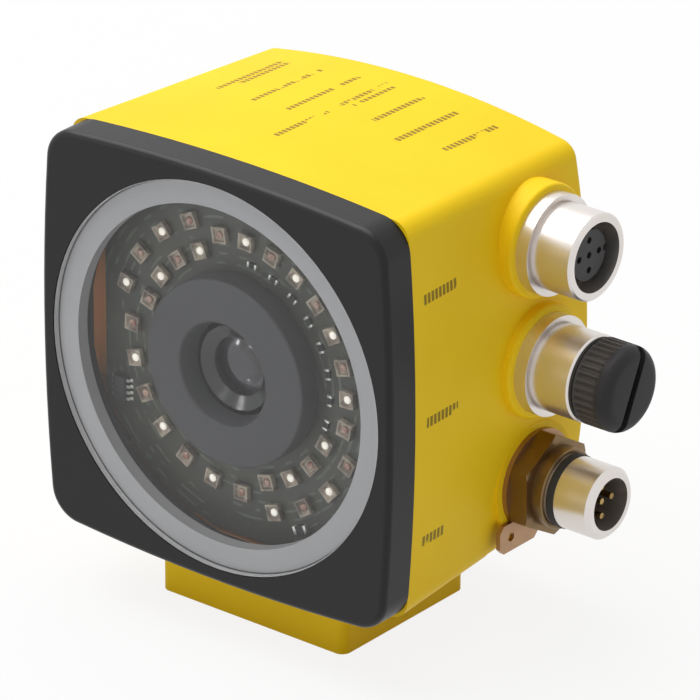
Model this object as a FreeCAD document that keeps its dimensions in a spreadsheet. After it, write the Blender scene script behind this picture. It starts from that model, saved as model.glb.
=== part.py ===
import FreeCAD, Part
import math
import os
import Sketcher

# Optical position reader: a cubic reader head with a round lit window in front,
# three round connectors on its right side and a mounting foot underneath.
# Millimetres, +Z up, the window faces -Y, the connectors point to +X.
# The origin is the middle of the foot's underside.
# Depths are measured from the bezel's front plane, heights from the optical axis.

DIMENSIONS = {
    # Front bezel: a square frame with slightly crowned sides
    "bezel_size": 70.0,
    "bezel_crown": 1.57,
    "bezel_corner": 5.7,
    "bezel_depth": 6.2,
    "bezel_round": 1.0,
    # Window pack, stacked in the bezel's stepped bore
    "window_recess": 0.1,
    "window_radius": 32.6,
    "window_thickness": 1.0,
    "ring_inner_radius": 28.4,
    "ring_thickness": 2.2,
    "window_seal_thickness": 0.8,
    "shoulder_radius": 30.0,
    # Housing: crowned box that narrows a little towards its rounder back
    "housing_reveal": 0.1,
    "housing_taper": 0.83,
    "housing_back_crown": 3.14,
    "housing_corner": 3.3,
    "housing_back_round": 1.2,
    "body_depth": 51.3,
    "housing_wall": 4.5,
    "cavity_corner": 5.0,
    "back_wall": 2.5,
    "step_depth": 28.2,
    "step_rise": 3.9,
    "step_wall": 2.0,
    "gasket_width": 1.7,
    "gasket_thickness": 1.0,
    # Case screws, driven from the back into the bezel
    "case_screw_inset": 3.7,
    "case_screw_radius": 1.25,
    "case_screw_engagement": 4.4,
    "case_head_radius": 2.25,
    "case_head_height": 2.5,
    "case_head_sink": 0.3,
    "case_column_radius": 2.6,
    # Mounting foot
    "foot_width": 37.4,
    "foot_length": 30.6,
    "foot_height": 10.7,
    "foot_corner": 1.6,
    "foot_setback": 24.4,
    "foot_insert_spacing": 25.0,
    "foot_insert_radius": 4.0,
    "foot_insert_bore": 2.5,
    "foot_insert_length": 8.0,
    "foot_screw_spacing": 18.0,
    "foot_screw_radius": 2.0,
    "foot_screw_engagement": 3.0,
    "foot_head_radius": 3.5,
    "foot_head_height": 3.2,
    "foot_head_sink": 1.0,
    # LED board and its parts
    "led_board_depth": 6.9,
    "board_thickness": 1.6,
    "led_board_radius": 30.0,
    "led_board_side_flat": 27.6,
    "led_board_end_flat": 29.4,
    "led_board_hole": 8.8,
    "led_ring_radius": 21.6,
    "led_row_offset": 2.5,
    "led_size": 2.75,
    "led_height": 1.0,
    "shelf_inner": 25.0,
    "shelf_half_width": 11.0,
    "shelf_thickness": 3.5,
    # Lens hood and lens
    "hood_radius": 15.6,
    "hood_front": 2.6,
    "hood_lip": 2.1,
    "hood_mouth": 8.6,
    "hood_throat": 7.7,
    "hood_throat_depth": 5.8,
    "hood_wall": 1.6,
    "barrel_front": 5.4,
    "barrel_head_radius": 7.0,
    "barrel_head_length": 3.4,
    "barrel_radius": 5.95,
    "barrel_length": 14.0,
    "front_lens_radius": 4.85,
    "front_lens_seat": 2.6,
    "front_lens_edge": 1.0,
    "front_lens_crown": 1.0,
    "barrel_bore": 3.6,
    "rear_lens_radius": 4.25,
    "rear_lens_seat": 2.8,
    "rear_lens_edge": 1.2,
    "rear_lens_crown": 0.6,
    "holder_front": 12.0,
    "holder_tube_radius": 7.6,
    "holder_base_half": 8.0,
    "holder_base_height": 3.5,
    "holder_chamber_half": 5.5,
    "holder_chamber_depth": 2.8,
    "sensor_half": 4.5,
    "sensor_height": 1.2,
    # Board stack
    "camera_board_depth": 24.0,
    "interface_board_depth": 36.0,
    "board_left": 25.0,
    "board_right": 20.4,
    "board_half_height": 23.0,
    "spacer_offset": 17.0,
    "spacer_radius": 2.5,
    "spacer_stud_radius": 1.2,
    "spacer_stud_length": 5.0,
    "spacer_boss_radius": 2.8,
    "link_length": 12.0,
    "link_width": 4.5,
    "link_offset": 19.0,
    "connector_board_inner": 21.0,
    "connector_board_top": 29.0,
    "connector_board_bottom": 27.0,
    "connector_board_half_width": 8.6,
    "side_link_length": 9.0,
    "side_link_width": 4.4,
    "side_link_height": 3.0,
    "side_link_offset": 8.5,
    # Packages on the boards
    "driver_chip_length": 3.2,
    "driver_chip_width": 4.4,
    "driver_chip_height": 1.3,
    "driver_chip_left": 24.2,
    "driver_chip_down": 10.9,
    "resistor_length": 2.8,
    "resistor_width": 1.8,
    "resistor_height": 0.7,
    "resistor_right": 12.2,
    "resistor_down": 24.5,
    "processor_size": 15.0,
    "processor_height": 1.4,
    "memory_length": 9.0,
    "memory_width": 11.0,
    "memory_height": 1.1,
    "memory_left": 16.5,
    "transceiver_length": 7.5,
    "transceiver_width": 10.0,
    "transceiver_height": 2.3,
    "transceiver_right": 9.8,
    "transceiver_spacing": 16.0,
    "coil_size": 8.0,
    "coil_height": 4.0,
    "coil_left": 16.0,
    "coil_up": 8.0,
    # Connectors on the right side
    "port_setback": 13.8,
    "port_spacing": 20.55,
    "port_boss_rise": 1.0,
    "port_boss_radius": 9.3,
    "port_boss_round": 0.6,
    "flange_radius": 8.2,
    "flange_thickness": 2.2,
    "flange_groove_radius": 6.8,
    "flange_groove_width": 0.6,
    "socket_radius": 7.1,
    "socket_reach": 9.5,
    "socket_chamfer": 0.3,
    "socket_bore": 5.7,
    "socket_bore_floor": 0.8,
    "shank_radius": 6.4,
    "shank_overrun": 0.6,
    "port_seal_width": 1.45,
    "port_seal_thickness": 0.9,
    "carrier_radius": 4.15,
    "carrier_body_radius": 4.85,
    "carrier_reach": 8.0,
    "carrier_key_width": 1.0,
    "carrier_key_depth": 0.6,
    "contact_radius": 0.5,
    "contact_circle": 2.5,
    "contact_sink": 0.8,
    "contact_tail": 0.4,
    "main_seat_sink": 0.9,
    "main_seat_radius": 9.5,
    "main_nut_flats": 16.2,
    "main_nut_thickness": 3.4,
    "main_nut_turn": 55.0,
    "main_groove_radius": 5.2,
    "main_groove_width": 1.4,
    "main_radius": 5.9,
    "main_reach": 14.9,
    "main_chamfer": 0.7,
    "main_bore": 4.3,
    "main_carrier_reach": 5.4,
    "main_pin_reach": 13.2,
    "tab_thickness": 0.8,
    "tab_ring_radius": 8.3,
    "tab_width": 4.8,
    "tab_drop": 7.4,
    "tab_length": 9.7,
    "tab_tip": 1.0,
    "tab_hole_radius": 0.75,
    "tab_hole_setback": 2.8,
    # Blind plug on the middle socket
    "blind_head_radius": 7.05,
    "blind_head_gap": 0.5,
    "blind_head_length": 6.3,
    "blind_edge": 1.0,
    "blind_heel": 0.5,
    "blind_shank_wall": 1.1,
    "blind_shank_length": 5.5,
    "blind_bore_depth": 1.1,
    "blind_slot_width": 1.5,
    "blind_slot_depth": 1.5,
    "blind_slot_lean": 25.0,
    "knurl_depth": 0.35,
    "knurl_width": 0.8,
    "blind_seal_radius": 6.8,
    "blind_seal_gap": 0.05,
    # Clearances
    "fit_gap": 0.05,
    "thread_gap": 0.08,
}

# The LEDs stand closer together down the right of the ring than round its left
LED_TOP_ANGLE = 114.0
LED_RIGHT_PITCH = 14.0
LED_RIGHT_STEPS = 10
LED_LEFT_STEPS = 14
LED_DOUBLE_STEPS = (0, 10, 11, 12, 13, 21, 22, 23)
KNURL_COUNT = 36
CORNERS = ((1, 1), (-1, 1), (-1, -1), (1, -1))
CONTACT_ANGLES = (0, 90, 180, 270)

doc = FreeCAD.newDocument("optical_position_reader")
sheet = doc.addObject("Spreadsheet::Sheet", "Sizes")
for row, (alias, value) in enumerate(DIMENSIONS.items(), start=1):
    sheet.set("A{}".format(row), alias)
    sheet.set("B{}".format(row), str(value))
    sheet.setAlias("B{}".format(row), alias)
doc.recompute()


class Size:
    """A dimension known both as a number and as a formula over the sheet."""

    def __init__(self, value, formula):
        self.value = value
        self.formula = formula

    def joined(self, sign, other, value):
        return Size(value, "({} {} {})".format(self.formula, sign, other.formula))

    def __add__(self, other):
        other = size(other)
        return self.joined("+", other, self.value + other.value)

    def __radd__(self, other):
        return size(other) + self

    def __sub__(self, other):
        other = size(other)
        return self.joined("-", other, self.value - other.value)

    def __rsub__(self, other):
        return size(other) - self

    def __mul__(self, other):
        other = size(other)
        return self.joined("*", other, self.value * other.value)

    def __rmul__(self, other):
        return size(other) * self

    def __truediv__(self, other):
        other = size(other)
        return self.joined("/", other, self.value / other.value)

    def __neg__(self):
        return size(-1.0) * self


def size(value):
    """Takes a plain number as a size of its own."""
    if isinstance(value, Size):
        return value
    return Size(float(value), "({:.9f})".format(value))


class Sheet:
    """Gives each cell of the sheet as a size, by its alias."""

    def __getattr__(self, alias):
        return Size(float(sheet.get(alias)), "Sizes." + alias)


d = Sheet()
ZERO = size(0)


def crown_radius(half_chord, rise):
    """Radius of the arc that rises by a crown over a chord."""
    return (half_chord * half_chord + rise * rise) / (2 * rise)


# Depths and heights that several pieces share
bezel_half = d.bezel_size / 2
housing_half = bezel_half - d.housing_reveal
cavity_half = housing_half - d.housing_wall
axis_height = d.foot_height + housing_half
step_level = housing_half - d.step_rise
case_screw_offset = cavity_half - d.case_screw_inset
port_depth = d.body_depth - d.port_setback
port_boss_reach = bezel_half + d.port_boss_rise
main_seat_reach = bezel_half - d.main_seat_sink
window_back = d.window_recess + d.window_thickness
ring_back = window_back + d.ring_thickness
window_seal_back = ring_back + d.window_seal_thickness
cavity_back = d.body_depth - d.back_wall
led_board_back = d.led_board_depth + d.board_thickness
camera_board_back = d.camera_board_depth + d.board_thickness
interface_board_back = d.interface_board_depth + d.board_thickness
case_seat_depth = d.body_depth - d.case_head_sink - d.case_head_height
connector_board_outer = d.connector_board_inner + d.board_thickness
rear_floor_level = step_level - d.step_wall
screw_hole_radius = d.case_screw_radius + d.fit_gap
shank_hole_radius = d.shank_radius + d.fit_gap
contact_hole_radius = d.contact_radius + d.fit_gap

# Frames: a turn, then the place of the frame's origin.
# In the face frame x is right, y is up and z points out of the window.
# In a side frame z points out of the right side along a connector's axis and x points down.
UPRIGHT = FreeCAD.Rotation()
FACING_FRONT = FreeCAD.Rotation(FreeCAD.Vector(1, 0, 0), 90)
FACING_RIGHT = FreeCAD.Rotation(FreeCAD.Vector(0, 1, 0), 90)
BASE = (UPRIGHT, (ZERO, ZERO, ZERO))
FACE = (FACING_FRONT, (ZERO, -d.foot_setback, axis_height))


def side_frame(reach, height):
    """Frame on the right side, on the axis of the connector at a height."""
    return (FACING_RIGHT, (reach, port_depth - d.foot_setback, axis_height + height))


PORT_1 = side_frame(port_boss_reach, d.port_spacing)
PORT_2 = side_frame(port_boss_reach, ZERO)
MAIN = side_frame(main_seat_reach, -d.port_spacing)

nodes = []


def bind(thing, path, length):
    """Ties a property to its formula."""
    thing.setExpression(path, length.formula)


def place(thing, frame):
    """Puts an object in its frame and notes it as a sub-part."""
    turn, base = frame
    thing.Placement = FreeCAD.Placement(FreeCAD.Vector(*(part.value for part in base)), turn)
    for letter, length in zip("xyz", base):
        bind(thing, "Placement.Base." + letter, length)
    nodes.append(thing)


def new_body(label, frame):
    body = doc.addObject("PartDesign::Body", label)
    body.Label = label
    place(body, frame)
    return body


def new_sketch(body, name, offset=ZERO, plane="XY_Plane"):
    """An empty sketch on one of the body's own planes, moved along the plane's normal."""
    sketch = body.newObject("Sketcher::SketchObject", body.Name + "_" + name)
    support = next(part for part in body.Origin.OriginFeatures if part.Role == plane)
    sketch.AttachmentSupport = [(support, "")]
    sketch.MapMode = "FlatFace"
    sketch.AttachmentOffset = FreeCAD.Placement(FreeCAD.Vector(0, 0, offset.value), UPRIGHT)
    bind(sketch, "AttachmentOffset.Base.z", offset)
    return sketch


def constrain(sketch, constraint, length):
    index = sketch.addConstraint(constraint)
    bind(sketch, "Constraints[{}]".format(index), length)


def locate(sketch, element, vertex, x, y):
    """Ties a point of the sketch to its two coordinates."""
    for kind, axis, length in (("DistanceX", -2, size(x)), ("DistanceY", -1, size(y))):
        if abs(length.value) < 1e-9:
            sketch.addConstraint(Sketcher.Constraint("PointOnObject", element, vertex, axis))
        else:
            rule = Sketcher.Constraint(kind, -1, 1, element, vertex, length.value)
            constrain(sketch, rule, length)


def circle(sketch, radius, x=ZERO, y=ZERO):
    x, y = size(x), size(y)
    centre = FreeCAD.Vector(x.value, y.value, 0)
    element = sketch.addGeometry(Part.Circle(centre, FreeCAD.Vector(0, 0, 1), radius.value))
    constrain(sketch, Sketcher.Constraint("Radius", element, radius.value), radius)
    locate(sketch, element, 3, x, y)


def outline(sketch, points):
    """A closed outline of straight lines through points tied to their coordinates."""
    points = [(size(x), size(y)) for x, y in points]
    first = sketch.GeometryCount
    count = len(points)
    for index in range(count):
        ends = (points[index], points[(index + 1) % count])
        start, stop = (FreeCAD.Vector(x.value, y.value, 0) for x, y in ends)
        sketch.addGeometry(Part.LineSegment(start, stop))
    for index, (x, y) in enumerate(points):
        following = first + (index + 1) % count
        sketch.addConstraint(Sketcher.Constraint("Coincident", first + index, 2, following, 1))
        locate(sketch, first + index, 1, x, y)


def rectangle(sketch, x0, y0, x1, y1):
    outline(sketch, ((x0, y0), (x1, y0), (x1, y1), (x0, y1)))


def clipped_rectangle(sketch, x0, y0, x1, y1, clip):
    """A rectangle with its four corners cut off at 45 degrees."""
    points = (
        (x0 + clip, y0),
        (x1 - clip, y0),
        (x1, y0 + clip),
        (x1, y1 - clip),
        (x1 - clip, y1),
        (x0 + clip, y1),
        (x0, y1 - clip),
        (x0, y0 + clip),
    )
    outline(sketch, points)


def hexagon(sketch, flats, turn):
    corner = flats / math.sqrt(3)
    angles = [math.radians(turn + 60 * step) for step in range(6)]
    outline(sketch, [(corner * math.cos(angle), corner * math.sin(angle)) for angle in angles])


def crowned_square(sketch, half, crown):
    """A square whose four sides are arcs that rise by the crown in their middle."""
    corner = half - crown
    radius = crown_radius(corner, crown)
    swing = math.asin(corner.value / radius.value)
    reach = half.value - radius.value
    starts = ((corner, -corner), (corner, corner), (-corner, corner), (-corner, -corner))
    for quarter in range(4):
        middle = quarter * math.pi / 2
        centre = FreeCAD.Vector(reach * math.cos(middle), reach * math.sin(middle), 0)
        ring = Part.Circle(centre, FreeCAD.Vector(0, 0, 1), radius.value)
        sketch.addGeometry(Part.ArcOfCircle(ring, middle - swing, middle + swing))
    for quarter, (x, y) in enumerate(starts):
        sketch.addConstraint(Sketcher.Constraint("Coincident", quarter, 2, (quarter + 1) % 4, 1))
        locate(sketch, quarter, 1, x, y)
        constrain(sketch, Sketcher.Constraint("Radius", quarter, radius.value), radius)


def extrude(body, kind, sketch, length, backwards=False):
    """A pad or a pocket of a sketch, compared with the solid before it."""
    doc.recompute()
    before = body.Shape.Volume if body.Tip else 0.0
    feature = body.newObject("PartDesign::" + kind, sketch.Name + "_" + kind)
    feature.Profile = sketch
    bind(feature, "Length", length)
    feature.Reversed = backwards
    doc.recompute()
    change = feature.Shape.Volume - before
    if (kind == "Pad") != (change > 0) or abs(change) < 1e-6:
        raise ValueError("{} changes nothing: {}".format(kind, sketch.Name))
    return feature


def pad(body, sketch, length, backwards=False):
    return extrude(body, "Pad", sketch, length, backwards)


def pocket(body, sketch, length, backwards=False):
    return extrude(body, "Pocket", sketch, length, backwards)


def edges_of(feature, wanted):
    """Names of the edges whose middle point meets a test."""
    names = []
    for number, edge in enumerate(feature.Shape.Edges, start=1):
        middle = edge.valueAt((edge.FirstParameter + edge.LastParameter) / 2)
        if wanted(edge, middle):
            names.append("Edge{}".format(number))
    return names


def rounded(body, feature, edges, radius):
    fillet = body.newObject("PartDesign::Fillet", feature.Name + "_round")
    fillet.Base = (feature, edges)
    bind(fillet, "Radius", radius)
    doc.recompute()
    return fillet


def turned(label, frame, profile):
    """A turned piece: an outline of radius and height, spun about the frame's z axis."""
    body = new_body(label, frame)
    sketch = new_sketch(body, "profile", plane="XZ_Plane")
    outline(sketch, profile)
    spin = body.newObject("PartDesign::Revolution", label + "_turned")
    spin.Profile = sketch
    spin.ReferenceAxis = (sketch, ["V_Axis"])
    spin.Angle = 360
    doc.recompute()
    return body


def flat_ring(label, frame, top, thickness, outer, inner):
    """A flat ring that reaches down from its top height."""
    body = new_body(label, frame)
    sketch = new_sketch(body, "ring", top)
    circle(sketch, outer)
    circle(sketch, inner)
    pad(body, sketch, thickness, backwards=True)
    return body


def box(name, x, y, z, length, width, height):
    """A block of an assembly group, by its lowest corner and its sides."""
    block = doc.addObject("Part::Box", name)
    for path, value in (("Length", length), ("Width", width), ("Height", height)):
        bind(block, path, value)
    for letter, value in zip("xyz", (x, y, z)):
        bind(block, "Placement.Base." + letter, size(value))
    return block


def package(name, x, y, z, length, width, height):
    """A chip, by the middle of its lowest face and its sides."""
    return box(name, x - length / 2, y - width / 2, z, length, width, height)


def cylinder(name, x, y, z, radius, height):
    """A round bar of an assembly group that stands on z."""
    bar = doc.addObject("Part::Cylinder", name)
    bind(bar, "Radius", radius)
    bind(bar, "Height", height)
    for letter, value in zip("xyz", (x, y, z)):
        bind(bar, "Placement.Base." + letter, size(value))
    return bar


def hex_bar(name, x, y, z, radius, height):
    """A six-sided bar of an assembly group that stands on z."""
    bar = doc.addObject("Part::Prism", name)
    bar.Polygon = 6
    bind(bar, "Circumradius", radius)
    bind(bar, "Height", height)
    for letter, value in zip("xyz", (x, y, z)):
        bind(bar, "Placement.Base." + letter, size(value))
    return bar


def joined(name, first, second):
    fuse = doc.addObject("Part::Fuse", name)
    fuse.Base = first
    fuse.Tool = second
    return fuse


def cut(name, first, second):
    difference = doc.addObject("Part::Cut", name)
    difference.Base = first
    difference.Tool = second
    return difference


def group(label, frame, pieces):
    """Identical or kindred pieces that share one node."""
    compound = doc.addObject("Part::Compound", label)
    compound.Label = label
    compound.Links = pieces
    place(compound, frame)
    return compound


# Front bezel: a moulded black frame, bored in steps for the window pack,
# with a blind screw hole in each corner of its back
def make_bezel():
    body = new_body("front_bezel", FACE)
    sketch = new_sketch(body, "outline")
    crowned_square(sketch, bezel_half, d.bezel_crown)
    frame = pad(body, sketch, d.bezel_depth, backwards=True)
    middle = -d.bezel_depth.value / 2
    corners = edges_of(frame, lambda edge, point: abs(point.z - middle) < 1e-6)
    frame = rounded(body, frame, corners, d.bezel_corner)
    front = edges_of(frame, lambda edge, point: abs(point.z) < 1e-6)
    rounded(body, frame, front, d.bezel_round)
    seat = new_sketch(body, "window_seat")
    circle(seat, d.window_radius + d.fit_gap)
    pocket(body, seat, window_seal_back)
    shoulder = new_sketch(body, "shoulder")
    circle(shoulder, d.shoulder_radius)
    pocket(body, shoulder, d.bezel_depth)
    holes = new_sketch(body, "screw_holes", -d.bezel_depth)
    for right, up in CORNERS:
        circle(holes, screw_hole_radius, right * case_screw_offset, up * case_screw_offset)
    pocket(body, holes, d.case_screw_engagement, backwards=True)


# Window pack: a clear disc, the pale ring behind its rim and a soft flat seal
def make_window():
    body = new_body("front_window", FACE)
    sketch = new_sketch(body, "disc", -d.window_recess)
    circle(sketch, d.window_radius)
    pad(body, sketch, d.window_thickness, backwards=True)
    flat_ring("window_ring", FACE, -window_back, d.ring_thickness, d.window_radius, d.ring_inner_radius)
    flat_ring("window_seal", FACE, -ring_back, d.window_seal_thickness, d.window_radius, d.shoulder_radius)


# Housing: one moulding. Its crowned sides are lofted from the bezel to a rounder back,
# its underside steps up behind the foot, and bosses carry the connectors.
def make_housing():
    body = new_body("housing", FACE)
    front = new_sketch(body, "front", -d.bezel_depth)
    crowned_square(front, housing_half, d.bezel_crown)
    back = new_sketch(body, "back", -d.body_depth)
    crowned_square(back, housing_half - d.housing_taper, d.housing_back_crown)
    shell = body.newObject("PartDesign::AdditiveLoft", "housing_shell")
    shell.Profile = front
    shell.Sections = [back]
    shell.Ruled = True
    doc.recompute()
    low, high = -d.body_depth.value, -d.bezel_depth.value
    long_edges = edges_of(shell, lambda edge, point: abs(point.z - (low + high) / 2) < 1)
    shell = rounded(body, shell, long_edges, d.housing_corner)
    back_edges = edges_of(shell, lambda edge, point: abs(point.z - low) < 1e-6)
    rounded(body, shell, back_edges, d.housing_back_round)

    step = new_sketch(body, "step", -d.step_depth)
    rectangle(step, -d.bezel_size, -d.bezel_size, d.bezel_size, -step_level)
    pocket(body, step, d.body_depth)

    boss = new_sketch(body, "port_bosses", port_boss_reach, "YZ_Plane")
    for height in (d.port_spacing, ZERO):
        circle(boss, d.port_boss_radius, height, -port_depth)
    bosses = pad(body, boss, port_boss_reach - cavity_half, backwards=True)
    rims = edges_of(bosses, lambda edge, point: abs(point.x - port_boss_reach.value) < 1e-6)
    rounded(body, bosses, rims, d.port_boss_round)
    seat = new_sketch(body, "main_seat", main_seat_reach, "YZ_Plane")
    circle(seat, d.main_seat_radius, -d.port_spacing, -port_depth)
    pad(body, seat, main_seat_reach - cavity_half, backwards=True)

    sole = new_sketch(body, "foot_seat", housing_half, "XZ_Plane")
    half_length = d.foot_length / 2
    near, far = half_length - d.foot_setback, -half_length - d.foot_setback
    clipped_rectangle(sole, -d.foot_width / 2, far, d.foot_width / 2, near, d.foot_corner / 2)
    pad(body, sole, housing_half - rear_floor_level, backwards=True)

    rear_room = new_sketch(body, "rear_room", -d.bezel_depth)
    half, clip = cavity_half, d.cavity_corner
    clipped_rectangle(rear_room, -half, -rear_floor_level, half, half, clip)
    pocket(body, rear_room, cavity_back - d.bezel_depth)
    front_room = new_sketch(body, "front_room", -d.bezel_depth)
    clipped_rectangle(front_room, -half, -half, half, half, clip)
    pocket(body, front_room, d.step_depth - d.back_wall - d.bezel_depth)

    columns = new_sketch(body, "columns", -d.bezel_depth)
    for right, up in CORNERS:
        circle(columns, d.case_column_radius, right * case_screw_offset, up * case_screw_offset)
    pad(body, columns, cavity_back - d.bezel_depth, backwards=True)
    posts = new_sketch(body, "board_posts", -interface_board_back)
    for right, up in CORNERS:
        circle(posts, d.spacer_boss_radius, right * d.spacer_offset, up * d.spacer_offset)
    pad(body, posts, cavity_back - interface_board_back, backwards=True)
    shelves = new_sketch(body, "shelves", -led_board_back)
    near, wide = d.shelf_inner, d.shelf_half_width
    rectangle(shelves, near, -wide, half, wide)
    rectangle(shelves, -half, -wide, -near, wide)
    rectangle(shelves, -wide, near, wide, half)
    rectangle(shelves, -wide, -half, wide, -near)
    pad(body, shelves, d.shelf_thickness, backwards=True)

    rebate = new_sketch(body, "gasket_rebate", -d.bezel_depth)
    rim = half + d.gasket_width
    clipped_rectangle(rebate, -rim, -rim, rim, rim, clip)
    clipped_rectangle(rebate, -half, -half, half, half, clip)
    pocket(body, rebate, d.gasket_thickness)

    screws = new_sketch(body, "case_screw_holes", -d.bezel_depth)
    for right, up in CORNERS:
        circle(screws, screw_hole_radius, right * case_screw_offset, up * case_screw_offset)
    pocket(body, screws, d.body_depth)
    heads = new_sketch(body, "case_head_recesses", -d.body_depth)
    for right, up in CORNERS:
        head_radius = d.case_head_radius + d.fit_gap
        circle(heads, head_radius, right * case_screw_offset, up * case_screw_offset)
    pocket(body, heads, d.body_depth - case_seat_depth, backwards=True)
    studs = new_sketch(body, "stud_holes", -interface_board_back)
    for right, up in CORNERS:
        stud_hole = d.spacer_stud_radius + d.fit_gap
        circle(studs, stud_hole, right * d.spacer_offset, up * d.spacer_offset)
    pocket(body, studs, d.spacer_stud_length)

    ports = new_sketch(body, "port_holes", port_boss_reach, "YZ_Plane")
    for height in (d.port_spacing, ZERO, -d.port_spacing):
        circle(ports, shank_hole_radius, height, -port_depth)
    pocket(body, ports, port_boss_reach - cavity_half + d.shank_overrun + d.fit_gap)
    seal_recess_radius = shank_hole_radius + d.port_seal_width + d.fit_gap
    seals = new_sketch(body, "port_seal_recesses", port_boss_reach, "YZ_Plane")
    for height in (d.port_spacing, ZERO):
        circle(seals, seal_recess_radius, height, -port_depth)
    pocket(body, seals, d.port_seal_thickness)
    main_seal = new_sketch(body, "main_seal_recess", main_seat_reach, "YZ_Plane")
    circle(main_seal, seal_recess_radius, -d.port_spacing, -port_depth)
    pocket(body, main_seal, d.port_seal_thickness)

    pilots = new_sketch(body, "foot_screw_holes", housing_half, "XZ_Plane")
    for side in (-1, 1):
        depth = side * d.foot_screw_spacing / 2 - d.foot_setback
        circle(pilots, d.foot_screw_radius + d.fit_gap, ZERO, depth)
    pocket(body, pilots, d.foot_screw_engagement + d.fit_gap)


# Housing gasket: a soft frame in the rebate round the housing's mouth
def make_gasket():
    body = new_body("housing_gasket", FACE)
    sketch = new_sketch(body, "frame", -d.bezel_depth)
    outer = cavity_half + d.gasket_width - d.fit_gap
    inner = cavity_half + d.fit_gap
    clipped_rectangle(sketch, -outer, -outer, outer, outer, d.cavity_corner)
    clipped_rectangle(sketch, -inner, -inner, inner, inner, d.cavity_corner)
    pad(body, sketch, d.gasket_thickness, backwards=True)


# Case screws: four long screws from the back through the columns into the bezel
def make_case_screws():
    screws = []
    tip = d.bezel_depth - d.case_screw_engagement + d.fit_gap
    for number, (right, up) in enumerate(CORNERS, start=1):
        x, y = right * case_screw_offset, up * case_screw_offset
        name = "case_screw_{}".format(number)
        head_foot = -case_seat_depth - d.case_head_height
        head = cylinder(name + "_head", x, y, head_foot, d.case_head_radius, d.case_head_height)
        stem_length = case_seat_depth - tip
        stem = cylinder(name + "_stem", x, y, -case_seat_depth, d.case_screw_radius, stem_length)
        screws.append(joined(name, head, stem))
    group("case_screws", FACE, screws)


# Mounting foot: a moulded block under the housing, with two brass thread inserts
# in its underside and two sunk screws that hold it to the housing
def make_foot():
    body = new_body("mounting_foot", BASE)
    sketch = new_sketch(body, "sole")
    half_width, half_length = d.foot_width / 2, d.foot_length / 2
    rectangle(sketch, -half_width, -half_length, half_width, half_length)
    block = pad(body, sketch, d.foot_height)
    middle = d.foot_height.value / 2
    rounded(body, block, edges_of(block, lambda edge, point: abs(point.z - middle) < 1e-6), d.foot_corner)
    holes = new_sketch(body, "screw_holes", d.foot_height)
    heads = new_sketch(body, "head_recesses")
    for side in (-1, 1):
        along = side * d.foot_screw_spacing / 2
        circle(holes, d.foot_screw_radius + d.fit_gap, ZERO, along)
        circle(heads, d.foot_head_radius + d.fit_gap, ZERO, along)
    pocket(body, holes, d.foot_height)
    pocket(body, heads, d.foot_head_sink + d.foot_head_height, backwards=True)
    sockets = new_sketch(body, "insert_holes")
    for side in (-1, 1):
        circle(sockets, d.foot_insert_radius + d.fit_gap, side * d.foot_insert_spacing / 2)
    pocket(body, sockets, d.foot_insert_length, backwards=True)

    inserts, screws = [], []
    for number, side in enumerate((-1, 1), start=1):
        across = side * d.foot_insert_spacing / 2
        name = "foot_insert_{}".format(number)
        sleeve = cylinder(name + "_sleeve", across, ZERO, ZERO, d.foot_insert_radius, d.foot_insert_length)
        bore = cylinder(name + "_bore", across, ZERO, ZERO, d.foot_insert_bore, d.foot_insert_length)
        inserts.append(cut(name, sleeve, bore))
        along = side * d.foot_screw_spacing / 2
        name = "foot_screw_{}".format(number)
        head = cylinder(name + "_head", ZERO, along, d.foot_head_sink, d.foot_head_radius, d.foot_head_height)
        stem_foot = d.foot_head_sink + d.foot_head_height
        stem_length = d.foot_height + d.foot_screw_engagement - stem_foot
        stem = cylinder(name + "_stem", ZERO, along, stem_foot, d.foot_screw_radius, stem_length)
        screws.append(joined(name, head, stem))
    group("foot_inserts", BASE, inserts)
    group("foot_screws", BASE, screws)


def led_angle(step):
    """Where an LED stands on its ring, counted clockwise from the top."""
    right_arc = LED_RIGHT_STEPS * LED_RIGHT_PITCH
    left_pitch = (360 - right_arc) / LED_LEFT_STEPS
    if step < LED_RIGHT_STEPS:
        return LED_TOP_ANGLE - step * LED_RIGHT_PITCH
    return LED_TOP_ANGLE - right_arc - (step - LED_RIGHT_STEPS) * left_pitch


# LED board: a round board with four flats, held on the housing's shelves,
# and on it the LEDs, in one row that doubles over two stretches, and small chips
def make_led_board():
    back = -led_board_back
    disc = cylinder("led_board_disc", ZERO, ZERO, back, d.led_board_radius, d.board_thickness)
    wide, tall = d.led_board_side_flat, d.led_board_end_flat
    square = box("led_board_square", -wide, -tall, back, 2 * wide, 2 * tall, d.board_thickness)
    board = doc.addObject("Part::Common", "led_board_blank")
    board.Base = disc
    board.Tool = square
    hole = cylinder("led_board_bore", ZERO, ZERO, back, d.led_board_hole, d.board_thickness)
    pierced = cut("led_board", board, hole)
    pierced.Label = "led_board"
    place(pierced, FACE)

    leds = []
    for step in range(LED_RIGHT_STEPS + LED_LEFT_STEPS):
        rows = (-1, 1) if step in LED_DOUBLE_STEPS else (0,)
        turn = led_angle(step)
        across, up = math.cos(math.radians(turn)), math.sin(math.radians(turn))
        for row in rows:
            reach = d.led_ring_radius + row * d.led_row_offset - d.led_size / 2
            x = across * reach + up * d.led_size / 2
            y = up * reach - across * d.led_size / 2
            name = "led_{}_{}".format(step, row + 1)
            led = box(name, x, y, -d.led_board_depth, d.led_size, d.led_size, d.led_height)
            led.Placement.Rotation = FreeCAD.Rotation(FreeCAD.Vector(0, 0, 1), turn)
            leds.append(led)
    group("ring_leds", FACE, leds)

    floor = -d.led_board_depth
    sizes = (d.driver_chip_length, d.driver_chip_width, d.driver_chip_height)
    driver = package("driver_chip", -d.driver_chip_left, -d.driver_chip_down, floor, *sizes)
    sizes = (d.resistor_length, d.resistor_width, d.resistor_height)
    resistor = package("resistor_chip", d.resistor_right, -d.resistor_down, floor, *sizes)
    group("led_board_chips", FACE, [driver, resistor])


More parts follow.
